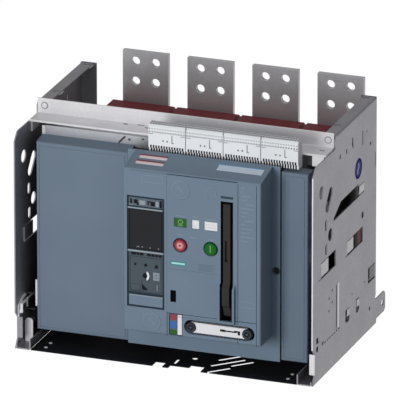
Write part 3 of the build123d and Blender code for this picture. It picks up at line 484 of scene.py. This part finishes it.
mesh = bmesh.new()
add_slab(mesh, (-4.6, -3.4), (-20.4, -19.8), (158.0, 171.0))
for x in (-44.0, -41.0, -34.0, -18.5, -2.0):
    add_slab(mesh, (x, x + 1.6), (-20.5, -20.0), (240.6, 243.0))
finished(mesh, "trip_small_lights", "breaker", "pale_slate_abs", 0.1)

# Operator panel: indicators and plates, with painted shade in its seams, rims and openings and painted highlights
# on its seams and moulded marks
slabs_finished("state_indicator", "breaker", "green_plate", [
    ((29.8, 54.4), (-20.4, -19.0), (290.9, 308.1)),
], 0.3)
mesh = bmesh.new()
add_ring(mesh, place(42.1, -20.4, 300.6), FRONT, 5.0, 3.4, 0.2, 32)
add_slab(mesh, (37.0, 47.2), (-20.6, -20.4), (293.4, 294.8))
finished(mesh, "state_mark", "breaker", "pale_green_mark")
# Painted shade: dark rims round the indicators' windows
mesh = bmesh.new()
add_outline(mesh, (29.2, 55.0), (290.3, 308.7), PANEL_FACE, 1.0, 0.3)
add_outline(mesh, (64.5, 80.0), (290.3, 308.7), PANEL_FACE, 0.7, 0.2)
add_outline(mesh, (88.7, 115.7), (290.3, 308.7), PANEL_FACE, 0.7, 0.2)
finished(mesh, "indicator_rim_shade", "breaker", "painted_shade_line")
slabs_finished("white_indicators", "breaker", "white_abs", [
    ((65.1, 79.4), (-20.4, -19.0), (290.9, 308.1)),
    ((89.3, 115.1), (-20.4, -19.0), (290.9, 308.1)),
    ((36.4, 44.9), (-20.6, -19.0), (77.4, 116.6)),
], 0.3)
mesh = bmesh.new()
for height in (301.6, 296.0):
    add_slab(mesh, (92.0, 112.0), (-20.5, -20.3), (height, height + 0.8))
add_slab(mesh, (68.0, 76.0), (-20.5, -20.3), (294.0, 294.8))
finished(mesh, "indicator_lines", "breaker", "grey_mark")
slabs_finished("position_ground", "breaker", "slate_abs", [
    ((21.0, 35.8), (-20.1, -19.0), (77.0, 116.8)),
], 0.2)
slabs_finished("position_red", "breaker", "red_plate", [
    ((21.4, 34.6), (-20.5, -19.0), (105.6, 116.6)),
], 0.2)
slabs_finished("position_blue", "breaker", "blue_plate", [
    ((21.4, 34.6), (-20.5, -19.0), (89.6, 102.4)),
], 0.2)
slabs_finished("position_green", "breaker", "green_plate", [
    ((21.4, 34.6), (-20.5, -19.0), (77.4, 86.0)),
], 0.2)
# Painted shade: a dark rim round the position indicator
mesh = bmesh.new()
add_outline(mesh, (19.6, 45.9), (75.8, 118.0), PANEL_FACE, 0.8, 0.3)
finished(mesh, "position_rim_shade", "breaker", "seam_shadow")
slabs_finished("plain_teal_plate", "breaker", "teal_plate", [
    ((22.8, 53.6), (-21.35, -20.5), (214.6, 222.4)),
], 0.3)
slabs_finished("plain_teal_line", "breaker", "pale_teal_mark", [
    ((24.8, 51.6), (-21.45, -21.2), (216.8, 220.2)),
], 0.2)

# Painted shade: dark rings round the buttons
mesh = bmesh.new()
for x in (OFF_X, ON_X):
    add_ring(mesh, place(x, PANEL_FACE + 0.2, BUTTON_HEIGHT), FRONT, 14.4, 13.5, 0.7, 48)
finished(mesh, "button_ring_shade", "breaker", "seam_shadow", 0.2)

# Painted shade in the panel's seams and grooves
mesh = bmesh.new()
for x, z in (
    ((154.8, 156.0), (74.0, 388.0)), ((191.3, 192.5), (74.0, 388.0)), ((15.4, 16.6), (74.0, 119.4)),
    ((15.4, 117.0), (118.2, 119.4)), ((150.2, 156.0), (118.2, 119.4)), ((156.0, 192.5), (118.2, 119.4)),
):
    add_slab(mesh, x, (-20.5, -19.9), z)
finished(mesh, "panel_seam_shade", "breaker", "dark_slate_abs_and_seam_shade")
slabs_finished("panel_top_seam_shade", "breaker", "dark_slate_abs_and_seam_shade", [
    ((15.4, 154.0), (-21.25, -20.0), (391.2, 392.6)),
])
slabs_finished("panel_fine_seam_shade", "breaker", "painted_shade_line", [
    ((15.4, 117.0), (-21.1, -20.0), (206.0, 206.6)),
    ((15.0, 15.7), (-21.1, -20.0), (119.4, 391.0)),
    ((-57.0, 15.4), (-21.15, -20.0), (391.2, 392.2)),
    ((18.0, 117.0), (-21.1, -20.0), (112.6, 113.2)),
])
# Painted highlights along the seams' lit edges
slabs_finished("panel_seam_highlights", "breaker", "painted_highlight_line", [
    ((193.0, 194.4), (-21.3, -20.0), (78.0, 390.0)),
    ((156.2, 157.0), (-21.2, -20.0), (75.0, 388.0)),
    ((17.0, 117.0), (-21.15, -20.0), (119.6, 120.4)),
])

# Painted highlights on the moulded rings and marks
mesh = bmesh.new()
add_outline(mesh, (-34.0, 8.0), (370.6, 384.8), PANEL_FACE, 0.9, 0.3)
add_outline(mesh, (160.5, 186.5), (147.6, 160.0), PANEL_FACE, 0.8, 0.3)
add_ring(mesh, place(42.1, PANEL_FACE + 0.2, 363.6), FRONT, 17.6, 16.6, 0.5, 64)
add_ring(mesh, place(101.8, PANEL_FACE + 0.2, 365.0), FRONT, 11.0, 10.1, 0.5, 48)
add_ring(mesh, place(-14.4, PANEL_FACE + 0.2, 97.0), FRONT, 17.0, 16.0, 0.5, 64)
for x, height in ((38.6, 368.0), (45.4, 360.0), (42.1, 364.4), (-17.8, 101.0), (-11.0, 93.4)):
    add_ring(mesh, place(x, PANEL_FACE + 0.2, height), FRONT, 2.4, 1.6, 0.4, 24)
add_slab(mesh, (60.0, 76.0), (-21.15, -20.5), (272.4, 273.6))
for x, height in (
    ((33.0, 51.0), 311.8), ((66.0, 78.0), 313.4), ((93.0, 112.0), 311.8),
    ((38.0, 47.0), 274.6), ((96.0, 108.0), 272.0),
):
    add_slab(mesh, x, (-21.15, -20.5), (height, height + 1.4))
finished(mesh, "panel_mark_highlights", "breaker", "painted_highlight_line")
# Painted shadows of the moulded rings and lines
mesh = bmesh.new()
add_ring(mesh, place(42.6, PANEL_FACE + 0.2, 363.0), FRONT, 18.2, 17.6, 0.4, 64)
add_ring(mesh, place(102.2, PANEL_FACE + 0.2, 364.6), FRONT, 11.5, 11.0, 0.4, 48)
add_ring(mesh, place(-14.0, PANEL_FACE + 0.2, 96.4), FRONT, 17.6, 17.0, 0.4, 64)
for row in range(7):
    x = (77.0 + 2.0 * (row % 2), 110.0 - 3.0 * (row % 3))
    add_slab(mesh, x, (-21.1, -20.5), (222.0 - 2.0 * row, 222.6 - 2.0 * row))
finished(mesh, "panel_mark_shadows", "breaker", "painted_shade_line")
# Rows of short lines at the panel's right side, in the painted highlight tone
mesh = bmesh.new()
for row, x in enumerate((
    (162.0, 167.0), (161.0, 165.0), (161.0, 178.0), (161.0, 172.0), (172.0, 188.0), (161.0, 186.0), (161.0, 175.0),
    (161.0, 169.0), (168.0, 187.0), (161.0, 171.0), (161.0, 184.0), (161.0, 178.0), (161.0, 188.0), (161.0, 174.0),
)):
    height = 382.0 - 8.0 * row
    add_slab(mesh, x, (-21.1, -20.5), (height, height + 1.5))
finished(mesh, "panel_side_lines", "breaker", "painted_highlight_line")

# Painted shade in the top groove of the handle's slot
slabs_finished("handle_top_groove_shade", "breaker", "seam_shadow", [
    ((121.3, 145.7), (-21.2, -19.0), (357.2, 362.0)),
], 0.3)
# Painted shade in the key opening
slabs_finished("key_opening_shade", "breaker", "deep_shadow", [
    ((22.7, 33.2), (-19.0, -9.5), (141.3, 164.0)),
], 0.3)
# Painted shade lining the handle's slot
slabs_finished("handle_slot_shade", "breaker", "deep_shadow", [
    ((121.4, 145.6), (4.4, 4.9), (117.6, 351.4)),
    ((145.2, 145.6), (-20.6, 4.4), (117.6, 351.4)),
    ((121.5, 145.5), (-20.6, 4.4), (350.9, 351.4)),
    ((121.5, 145.5), (-20.6, 4.4), (117.6, 118.1)),
    ((145.2, 145.6), (-26.6, -20.6), (117.6, 190.0)),
])
slabs_finished("handle_slot_side", "breaker", "handle_polyamide", [
    ((121.4, 121.8), (-20.8, 4.4), (118.1, 350.9)),
    ((121.4, 121.8), (-26.6, -20.8), (118.1, 190.0)),
])
# Painted shade on the floor of the crank's recess
slabs_finished("crank_recess_shade", "breaker", "deep_shadow", [
    ((50.0, 187.6), (-12.25, -11.9), (82.4, 109.6)),
])
# Painted shade: a dark ring round the side hole
mesh = bmesh.new()
add_ring(mesh, place(207.5, 43.6, 203.0), FRONT, 7.6, 6.0, 1.0, 40)
finished(mesh, "side_hole_shade", "breaker", "seam_shadow", 0.2)

# Hood labels, left plain
HOOD_START, HOOD_DEPTH, HOOD_RISE = 394.0, 67.4, 14.0
hood_tilt = Matrix.Rotation(math.atan2(HOOD_RISE, HOOD_DEPTH), 4, "X")


def add_hood_plate(name, x, share, width, material, lift):
    """A thin plate that lies on the sloped hood, at a share of its depth."""
    mesh = bmesh.new()
    middle = place((x[0] + x[1]) / 2, PANEL_FACE + HOOD_DEPTH * share, HOOD_START + HOOD_RISE * share + lift)
    size = Matrix.Diagonal(((x[1] - x[0]) / 1000, width / 1000, 0.0003, 1.0))
    bmesh.ops.create_cube(mesh, size=1.0, matrix=Matrix.Translation(middle) @ hood_tilt @ size)
    finished(mesh, name, "breaker", material)


add_hood_plate("hood_label_front", (-54.0, 0.0), 0.355, 8.6, "rose_label", 0.15)
add_hood_plate("hood_label_rear", (-54.0, 0.0), 0.655, 8.6, "rose_label", 0.15)
add_hood_plate("hood_label_front_edge", (-55.0, -1.0), 0.455, 4.6, "label_edge", 0.12)
add_hood_plate("hood_label_rear_edge", (-55.0, 0.0), 0.755, 4.6, "label_edge", 0.12)
add_hood_plate("hood_label_wide", (102.0, 190.0), 0.58, 19.0, "pale_blue_label", 0.15)
add_hood_plate("hood_label_wide_edge", (99.0, 190.0), 0.74, 5.0, "blue_label_edge", 0.12)

# Charging handle: painted shade in the long groove of its grip
slabs_finished("handle_grip_groove_shade", "charging_handle", "deep_shadow", [
    ((130.6, 133.4), (-21.9, -19.2), (233.4, 274.6)),
    ((130.0, 135.0), (-22.15, -21.0), (233.4, 237.0)),
], 0.3)

# Button caps: generic signs for on and off
CAP_FACE = -23.4
slabs_finished("on_sign", "on_button", "pale_green_mark", [
    ((100.8, 102.8), (-23.75, -23.2), (248.6, 262.4)),
], 0.2)
# A paler red ring on the off cap: a painted sheen
mesh = bmesh.new()
add_ring(mesh, place(OFF_X, CAP_FACE, BUTTON_HEIGHT), FRONT, 9.0, 6.0, 0.15, 40)
finished(mesh, "off_cap_shine", "off_button", "red_cap_sheen")
mesh = bmesh.new()
add_ring(mesh, place(OFF_X, CAP_FACE, BUTTON_HEIGHT), FRONT, 6.0, 2.2, 0.35, 40)
finished(mesh, "off_sign", "off_button", "pale_rose_mark")

# Racking crank: pale strip, dark grips, the printed crank shape and painted highlights on the grips
slabs_finished("crank_strip", "breaker", "white_abs", [
    ((72.0, 165.6), (-21.6, -20.8), (87.2, 105.0)),
], 0.4)
mesh = bmesh.new()
for x in GRIP_XS:
    add_turned(
        mesh, place(x, -23.0, GRIP_HEIGHT), FRONT,
        [(9.9, -9.0), (9.9, 0.3), (9.1, 0.9), (6.6, 0.9), (6.0, 0.3), (3.0, 0.3), (2.6, 0.7), (0.1, 0.7)], 40,
    )
finished(mesh, "crank_grips", "breaker", "grip_rubber", 0.2)
mesh = bmesh.new()
add_slab(mesh, (120.5, 131.0), (-21.85, -21.4), (95.0, 99.6))
add_slab(mesh, (131.0, 153.0), (-21.85, -21.4), (95.8, 98.4))
add_slab(mesh, (148.5, 160.0), (-21.85, -21.4), (97.0, 100.0))
add_slab(mesh, (155.5, 160.0), (-21.85, -21.4), (92.0, 97.0))
for x in GRIP_XS:
    add_ring(mesh, place(x, -23.2, GRIP_HEIGHT), FRONT, 5.9, 4.6, 0.15, 40)
finished(mesh, "crank_marks", "breaker", "black_moulding_and_shade", 0.2)
# Painted highlights: pale rings and centre spots on the grips
mesh = bmesh.new()
for x in GRIP_XS:
    add_ring(mesh, place(x, -23.85, GRIP_HEIGHT), FRONT, 7.2, 6.5, 0.15, 40)
    add_disc(mesh, place(x, -23.65, GRIP_HEIGHT), FRONT, 1.6, 0.3, 20)
finished(mesh, "crank_grip_highlights", "breaker", "slate_abs")

# Auxiliary terminals: wire entries, screws' access holes and dividing lines; painted shade between the blocks and
# in the comb's gaps
BLOCK_LEFT, BLOCK_PITCH, BLOCK_WIDTH = -47.6, 73.9, 72.7
ENTRIES = 14
mesh = bmesh.new()
for block in range(4):
    left = BLOCK_LEFT + BLOCK_PITCH * block
    for step in range(ENTRIES):
        x = left + BLOCK_WIDTH * (step + 0.5) / ENTRIES
        add_slab(mesh, (x - 1.5, x + 1.5), (57.5, 61.3), (456.5, 457.95))
        add_slab(mesh, (x - 1.5, x + 1.5), (64.4, 67.8), (457.5, 458.98))
        add_slab(mesh, (x - 1.2, x + 1.2), (51.8, 54.0), (442.2, 445.0))
        add_slab(mesh, (x - 0.9, x + 0.9), (51.8, 54.0), (448.4, 450.6))
    add_slab(mesh, (left + 45.9, left + 47.5), (51.8, 54.0), (425.4, 440.0))
    add_slab(mesh, (left + 45.9, left + 50.4), (51.8, 54.0), (424.2, 425.8))
    for offset in (29.0, 37.2):
        add_disc(mesh, place(left + offset, 51.85, 427.4), REAR, 1.8, 1.0, 16)
    add_slab(mesh, (left + 1.0, left + 9.0), (51.85, 54.0), (438.8, 440.0))
    add_slab(mesh, (left + BLOCK_WIDTH - 9.0, left + BLOCK_WIDTH - 1.0), (51.85, 54.0), (439.4, 440.6))
finished(mesh, "terminal_entries", "guide_frame", "terminal_mark")
# Painted shade in the gaps between the blocks and behind the comb
mesh = bmesh.new()
for block in range(3):
    right = BLOCK_LEFT + BLOCK_PITCH * block + BLOCK_WIDTH
    add_slab(mesh, (right - 0.3, right + 1.5), (53.0, 75.8), (403.2, 456.0))
for block in range(4):
    left = BLOCK_LEFT + BLOCK_PITCH * block
    add_slab(mesh, (left + 2.4, left + BLOCK_WIDTH - 2.4), (70.0, 75.6), (403.0, 412.0))
finished(mesh, "terminal_joint_shade", "guide_frame", "black_moulding_and_shade")
# Painted shade in the gaps between the comb's teeth
mesh = bmesh.new()
for block in range(4):
    left = BLOCK_LEFT + BLOCK_PITCH * block
    for gap in range(ENTRIES - 1):
        x = left + BLOCK_WIDTH * (gap + 1) / ENTRIES
        add_slab(mesh, (x - 1.5, x + 1.5), (51.8, 54.0), (412.1, 417.6))
        add_slab(mesh, (x - 1.45, x + 1.45), (55.6, 58.0), (402.7, 411.9))
finished(mesh, "terminal_comb_gap_shade", "guide_frame", "black_moulding_and_shade")
mesh = bmesh.new()
for block in range(4):
    left = BLOCK_LEFT + BLOCK_PITCH * block
    add_slab(mesh, (left + 0.3, left + BLOCK_WIDTH - 0.3), (51.8, 52.6), (450.6, 452.4))
finished(mesh, "terminal_ribs", "guide_frame", "pale_polyamide", 0.3)

# Crossbar: end screws with painted shadow rings, and painted shade in the shelf's punched slots and the wiring
# cover's openings
CROSSBAR_SCREWS = [place(x, 120.0, 443.5) for x in (-278.5, 281.5)]
mesh = bmesh.new()
for centre in CROSSBAR_SCREWS:
    add_turned(mesh, centre, FRONT, [(5.4, 0.0), (5.4, 0.7), (4.8, 1.0), (1.6, 1.0), (1.5, 0.4), (0.1, 0.4)])
finished(mesh, "crossbar_screws", "guide_frame", "zinc_plated_steel")
mesh = bmesh.new()
for centre in CROSSBAR_SCREWS:
    add_ring(mesh, centre, FRONT, 6.9, 5.4, 0.25)
finished(mesh, "crossbar_screw_shadows", "guide_frame", "painted_shade_zinc")
# Painted shade in the shelf's slots
slabs_finished("shelf_slot_shade", "guide_frame", "steel_shadow", [
    ((-119.0, -111.0), (110.5, 114.5), (429.0, 429.35)),
    ((-92.0, -80.0), (114.5, 117.5), (429.0, 429.35)),
    ((-74.0, -66.0), (104.0, 107.0), (429.0, 429.35)),
    ((272.0, 282.0), (98.0, 101.0), (429.0, 429.35)),
])
# Painted shade in the wiring cover's openings
mesh = bmesh.new()
run = Matrix.Translation(place(-110.6, 81.1, 409.6)) @ Matrix.Rotation(math.radians(43.0), 4, "Y")
bmesh.ops.create_cube(mesh, size=1.0, matrix=run @ Matrix.Diagonal((0.0036, 0.0006, 0.019, 1.0)))
add_slab(mesh, (-98.0, -93.6), (80.9, 81.6), (409.4, 413.4))
add_slab(mesh, (-71.4, -66.8), (80.9, 81.6), (413.6, 416.4))
add_slab(mesh, (-92.0, -86.0), (80.9, 81.6), (399.0, 402.4))
finished(mesh, "wiring_cover_slot_shade", "breaker", "steel_shadow")
slabs_finished("wiring_cover_tab", "breaker", "zinc_plated_steel", [
    ((-269.4, -262.4), (81.4, 83.6), (398.4, 418.6)),
], 0.5)

# Folded edges of the floor plate over the channels' inner legs
mesh = bmesh.new()
for ends in both_sides(263.6, 266.3):
    add_slab(mesh, ends, (1.0, 355.0), (7.9, 8.3))
finished(mesh, "floor_edge_folds", "guide_frame", "black_powder_coat")

# Floor plate rivets
mesh = bmesh.new()
for x in (-240.0, 240.0):
    for depth in (19.6, 44.0):
        add_turned(mesh, place(x, depth, 2.0), UP, [(3.6, 0.0), (3.4, 0.7), (2.4, 1.2), (0.1, 1.4)], 28)
finished(mesh, "floor_rivets", "guide_frame", "zinc_plated_steel")

# Strip and hook at the front of the left runner, beside the cover
slabs_finished("runner_strip", "breaker", "dull_zinc_and_highlight", [
    ((-272.4, -268.2), (50.0, 52.0), (70.0, 122.6)),
    ((-272.4, -270.4), (52.0, 82.0), (72.0, 90.0)),
], 0.5)
slabs_finished("runner_hooks", "breaker", "dull_zinc_and_highlight", [
    ((-289.2, -284.0), (14.0, 44.0), (83.4, 85.4)),
    ((-289.2, -284.0), (14.0, 16.0), (67.0, 83.4)),
    ((-288.6, -285.4), (44.0, 84.0), (84.0, 86.4)),
    ((-288.6, -285.4), (44.0, 46.0), (69.0, 84.0)),
], 0.4)
slabs_finished("runner_hook_web", "breaker", "phosphated_steel", [
    ((-289.2, -287.8), (16.0, 84.0), (69.0, 83.6)),
], 0.3)

# Rear: flush screws of the terminal bars, with painted shade round them and in their sockets, and pan-head screws
# of the plates' flanges
POLE_PITCH = 130.0
BAR_SCREWS = [
    (POLE_PITCH * (pole - 1.5) + offset, height)
    for pole in range(4) for offset in (-20.0, 20.0) for height in (316.0, 103.0)
]
mesh = bmesh.new()
for x, height in BAR_SCREWS:
    add_disc(mesh, place(x, 445.85, height), REAR, 8.0, 0.18)
finished(mesh, "bar_screws", "guide_frame", "zinc_plated_steel")
# Painted shade: dark rings round the flush screws and dark sockets
mesh = bmesh.new()
for x, height in BAR_SCREWS:
    add_ring(mesh, place(x, 445.8, height), REAR, 8.8, 8.0, 0.22, 32)
    add_disc(mesh, place(x, 445.95, height), REAR, 3.6, 0.12, 6)
finished(mesh, "bar_screw_shade", "guide_frame", "steel_shadow")
mesh = bmesh.new()
for side in (-1, 1):
    for height in (361.0, 401.0, 240.0, 130.0):
        add_screw(mesh, place(side * 276.0, REAR_FLANGE, height), REAR, 5.0)
finished(mesh, "rear_flange_screws", "guide_frame", "zinc_plated_steel")

# Side plates: painted shade in small fixing holes, latch stamping, the adjusting holes of the right plate,
# notches, along the rib and under the windows; painted highlights on the tongues, front bend and tabs
PLATE_SKIN = (PLATE_OUTSIDE - 0.3, PLATE_OUTSIDE + 0.08)
PLATE_SHADE_LAYER = (PLATE_OUTSIDE - 0.3, PLATE_OUTSIDE + 0.06)
# Painted shade: dark marks in holes and notches, along the rib's shaded side and under the windows
mesh = bmesh.new()
for side in (-1, 1):
    out = (side, 0.0, 0.0)
    for depth, height, radius in (
        (321.0, 371.0, 3.6), (320.5, 42.0, 4.2), (290.0, 106.0, 2.0), (300.0, 402.0, 2.2), (220.0, 106.0, 2.0),
    ):
        add_disc(mesh, place(side * (PLATE_OUTSIDE - 0.4), depth, height), out, radius, 0.45, 24)
for depth, height in ((108.0, 153.0), (90.6, 142.6), (108.0, 129.8), (90.6, 118.2)):
    add_disc(mesh, place(PLATE_OUTSIDE - 0.4, depth, height), RIGHT, 2.7, 0.45, 24)
    add_slab(mesh, PLATE_SHADE_LAYER, (depth - 2.0, depth - 1.0), (height - 1.0, height + 3.0))
for depth, height, long, tall in (
    (131.0, 111.5, 2.0, 89.0), (196.0, 63.0, 15.0, 7.0), (250.0, 63.0, 13.0, 7.0), (56.0, 68.0, 10.0, 3.4),
    (318.0, 111.0, 2.0, 26.0), (277.0, 396.0, 3.0, 26.0), (222.0, 400.0, 3.0, 12.0),
    (206.0, 192.4, 50.0, 1.6), (62.0, 197.2, 60.0, 1.6),
):
    add_slab(mesh, PLATE_SHADE_LAYER, (depth - long / 2, depth + long / 2), (height - tall / 2, height + tall / 2))
finished(mesh, "plate_painted_shade", "guide_frame", "steel_shadow")
# Painted highlights: pale faces on the tongues, along the front bend, on the foot tab and on two lanced bridges
mesh = bmesh.new()
for ends in both_sides(*PLATE_SKIN):
    for depth, height in (
        ((45.4, 85.6), (200.4, 226.2)), ((192.4, 225.6), (195.4, 219.2)), ((258.4, 285.6), (290.4, 306.2)),
    ):
        add_slab(mesh, ends, depth, height)
add_slab(mesh, (PLATE_INSIDE, PLATE_OUTSIDE), (-0.25, 0.2), (71.4, 409.6))
add_slab(mesh, (284.4, 294.8), (11.75, 12.2), (18.4, 58.6))
for depth in ((192.5, 205.5), (247.0, 260.0)):
    add_slab(mesh, (PLATE_OUTSIDE - 0.4, PLATE_OUTSIDE + 0.08), depth, (71.0, 84.0))
finished(mesh, "plate_painted_highlights", "guide_frame", "dull_zinc_and_highlight")

# Behind the plates: slot backings, bracket at the shelf's right end, sheets on breaker and housings
mesh = bmesh.new()
for ends in both_sides(268.0, 288.0):
    for depth in (183.0, 344.0):
        add_slab(mesh, ends, (depth - 10.0, depth + 10.0), (447.6, 448.4))
add_slab(mesh, (264.4, 287.4), (80.0, 81.5), (404.0, 426.6))
finished(mesh, "frame_brackets", "guide_frame", "dull_zinc_and_highlight")
slabs_finished("side_brackets", "breaker", "dull_zinc_and_highlight", [
    ((261.9, 262.8), (124.0, 149.8), (316.0, 347.0)),
    ((261.9, 262.8), (150.2, 174.0), (268.0, 303.0)),
])
# The cover's end sheet is coloured with painted shade
slabs_finished("cover_end_sheet", "breaker", "painted_shade_zinc", [
    ((248.2, 261.6), (100.0, 101.5), (397.4, 424.0)),
])
mesh = bmesh.new()
for ends in both_sides(256.9, 257.4):
    add_slab(mesh, ends, (308.0, 358.6), (63.0, 354.0))
finished(mesh, "housing_side_sheets", "guide_frame", "case_moulding")

# Side plates: painted shade on a tongue, a painted highlight on the pressed rib, painted shade in the front hole,
# and the printed disc
# Painted shade on the rear lower tongue
mesh = bmesh.new()
for ends in both_sides(*PLATE_SKIN):
    add_slab(mesh, ends, (319.4, 348.6), (98.4, 123.2))
finished(mesh, "plate_shaded_tongue", "guide_frame", "painted_shade_zinc")
# Painted highlight on the pressed rib's lit side
slabs_finished("plate_rib_highlight", "guide_frame", "aluminium_zinc_and_rib_highlight", [
    (PLATE_SKIN, (137.0, 147.0), (68.0, 156.5)),
])
# Painted shade: a black disc behind the front hole
mesh = bmesh.new()
add_disc(mesh, place(PLATE_INSIDE - 0.4, 26.0, 65.0), RIGHT, 9.0, 0.35, 32)
finished(mesh, "plate_front_hole_shade", "guide_frame", "deep_shadow")
DISC_CENTRE = place(PLATE_OUTSIDE, 253.0, 344.0)
mesh = bmesh.new()
add_disc(mesh, DISC_CENTRE, RIGHT, 15.6, 0.12, 64)
finished(mesh, "plate_disc", "guide_frame", "violet_film")
mesh = bmesh.new()
add_ring(mesh, DISC_CENTRE, RIGHT, 19.5, 15.4, 0.2, 64)
finished(mesh, "plate_disc_ring", "guide_frame", "deep_violet_film")
mesh = bmesh.new()
add_ring(mesh, DISC_CENTRE, RIGHT, 21.2, 19.5, 0.1, 64)
add_slab(mesh, (PLATE_OUTSIDE + 0.1, PLATE_OUTSIDE + 0.2), (246.0, 252.0), (334.0, 345.0))
add_slab(mesh, (PLATE_OUTSIDE + 0.1, PLATE_OUTSIDE + 0.2), (251.0, 257.0), (343.0, 354.0))
finished(mesh, "plate_disc_marks", "guide_frame", "white_film")

# Stage: a pale floor that looks white to the camera and in mirrors, yet keeps the shadow
WHITE = (1.0, 1.0, 1.0, 1.0)
FLOOR_SHARE, FLOOR_GLOW = 0.86, 1.12
floor_material, floor_tree, floor_shader = new_material("studio_floor")
floor_shader.inputs["Roughness"].default_value = 0.9
floor_shader.inputs["Specular IOR Level"].default_value = 0.0
ray = add_node(floor_tree, "ShaderNodeLightPath")
floor_tree.links.new(
    tone_between(floor_tree, "#9a9a9a", "#f4f4f4", ray.outputs["Is Camera Ray"]), floor_shader.inputs["Base Color"]
)
mirror = add_node(
    floor_tree, "ShaderNodeMath", {"operation": "MAXIMUM"},
    {0: ray.outputs["Is Glossy Ray"], 1: ray.outputs["Is Transmission Ray"]},
)
seen = add_node(
    floor_tree, "ShaderNodeMath", {"operation": "MAXIMUM"},
    {0: ray.outputs["Is Camera Ray"], 1: mirror.outputs["Value"]},
)
share = add_node(
    floor_tree, "ShaderNodeMath", {"operation": "MULTIPLY", 1: FLOOR_SHARE}, {0: seen.outputs["Value"]}
)
pale = add_node(floor_tree, "ShaderNodeEmission", {"Color": WHITE, "Strength": FLOOR_GLOW})
seen_floor = add_node(
    floor_tree, "ShaderNodeMixShader",
    links={0: share.outputs["Value"], 1: floor_shader.outputs["BSDF"], 2: pale.outputs["Emission"]},
)
floor_tree.links.new(seen_floor.outputs["Shader"], floor_tree.nodes["Material Output"].inputs["Surface"])
bpy.ops.mesh.primitive_plane_add(size=14.0, location=(0.0, 3.0, -0.0002))
floor = bpy.context.object
floor.name = "floor"
floor.data.materials.append(floor_material)

# The world is a pale room; what mirrors sees it brighter than it lights the rest
world = bpy.data.worlds.new("studio")
bpy.context.scene.world = world
world.use_nodes = True
# Without a light map of the world, each kind of ray reads the strength that is meant for it
world.cycles.sampling_method = "NONE"
world.node_tree.nodes.clear()
path = add_node(world.node_tree, "ShaderNodeLightPath")
towards = add_node(world.node_tree, "ShaderNodeTexCoord")
facing = add_node(
    world.node_tree, "ShaderNodeVectorMath", {"operation": "DOT_PRODUCT", 1: (-0.44, -0.89, 0.1)},
    {0: towards.outputs["Generated"]},
)
room = add_node(
    world.node_tree, "ShaderNodeMapRange",
    {"From Min": -1.0, "From Max": 1.0, "To Min": 0.1, "To Max": 0.56},
    {"Value": facing.outputs["Value"]},
)
mirrored = add_node(
    world.node_tree, "ShaderNodeMapRange",
    {"From Min": -1.0, "From Max": 1.0, "To Min": 0.3, "To Max": 0.95},
    {"Value": facing.outputs["Value"]},
)
lit = add_node(
    world.node_tree, "ShaderNodeMix", {"data_type": "FLOAT"},
    {"Factor": path.outputs["Is Glossy Ray"], 2: room.outputs["Result"], 3: mirrored.outputs["Result"]},
)
strength = add_node(
    world.node_tree, "ShaderNodeMath", {"operation": "MAXIMUM"},
    {0: lit.outputs[0], 1: path.outputs["Is Camera Ray"]},
)
sky = add_node(
    world.node_tree, "ShaderNodeBackground", {"Color": WHITE}, {"Strength": strength.outputs["Value"]}
)
add_node(world.node_tree, "ShaderNodeOutputWorld", links={"Surface": sky.outputs["Background"]})


def add_lamp(name, location, target, size, power):
    """A soft square lamp that faces the breaker."""
    data = bpy.data.lights.new(name, "AREA")
    data.size = size
    data.energy = power
    lamp = bpy.data.objects.new(name, data)
    lamp.location = location
    lamp.rotation_mode = "QUATERNION"
    lamp.rotation_quaternion = (Vector(target) - Vector(location)).to_track_quat("-Z", "Y")
    lamp.visible_glossy = False
    bpy.context.scene.collection.objects.link(lamp)


add_lamp("front_lamp", (-0.7, -3.0, 0.75), (0.0, 0.0, 0.2), 1.2, 54.0)
add_lamp("rear_lamp", (0.6, 3.2, 0.5), (0.0, 0.0, 0.2), 1.4, 30.0)

# Camera: the photograph's angle, twenty degrees to the right and twenty above
VIEW_ALONG = Vector((-0.3214, 0.8830, -0.3420))
CAMERA_DISTANCE = 20.0
camera_data = bpy.data.cameras.new("camera")
camera_data.lens = 964.7
camera_data.sensor_width = 36.0
camera_data.clip_end = 100.0
camera = bpy.data.objects.new("camera", camera_data)
camera.location = place(7.7, 180.0, 271.0) - VIEW_ALONG.normalized() * CAMERA_DISTANCE
camera.rotation_mode = "QUATERNION"
camera.rotation_quaternion = VIEW_ALONG.to_track_quat("-Z", "Y")
bpy.context.scene.collection.objects.link(camera)
bpy.context.scene.camera = camera
bpy.context.scene.view_settings.view_transform = "Standard"
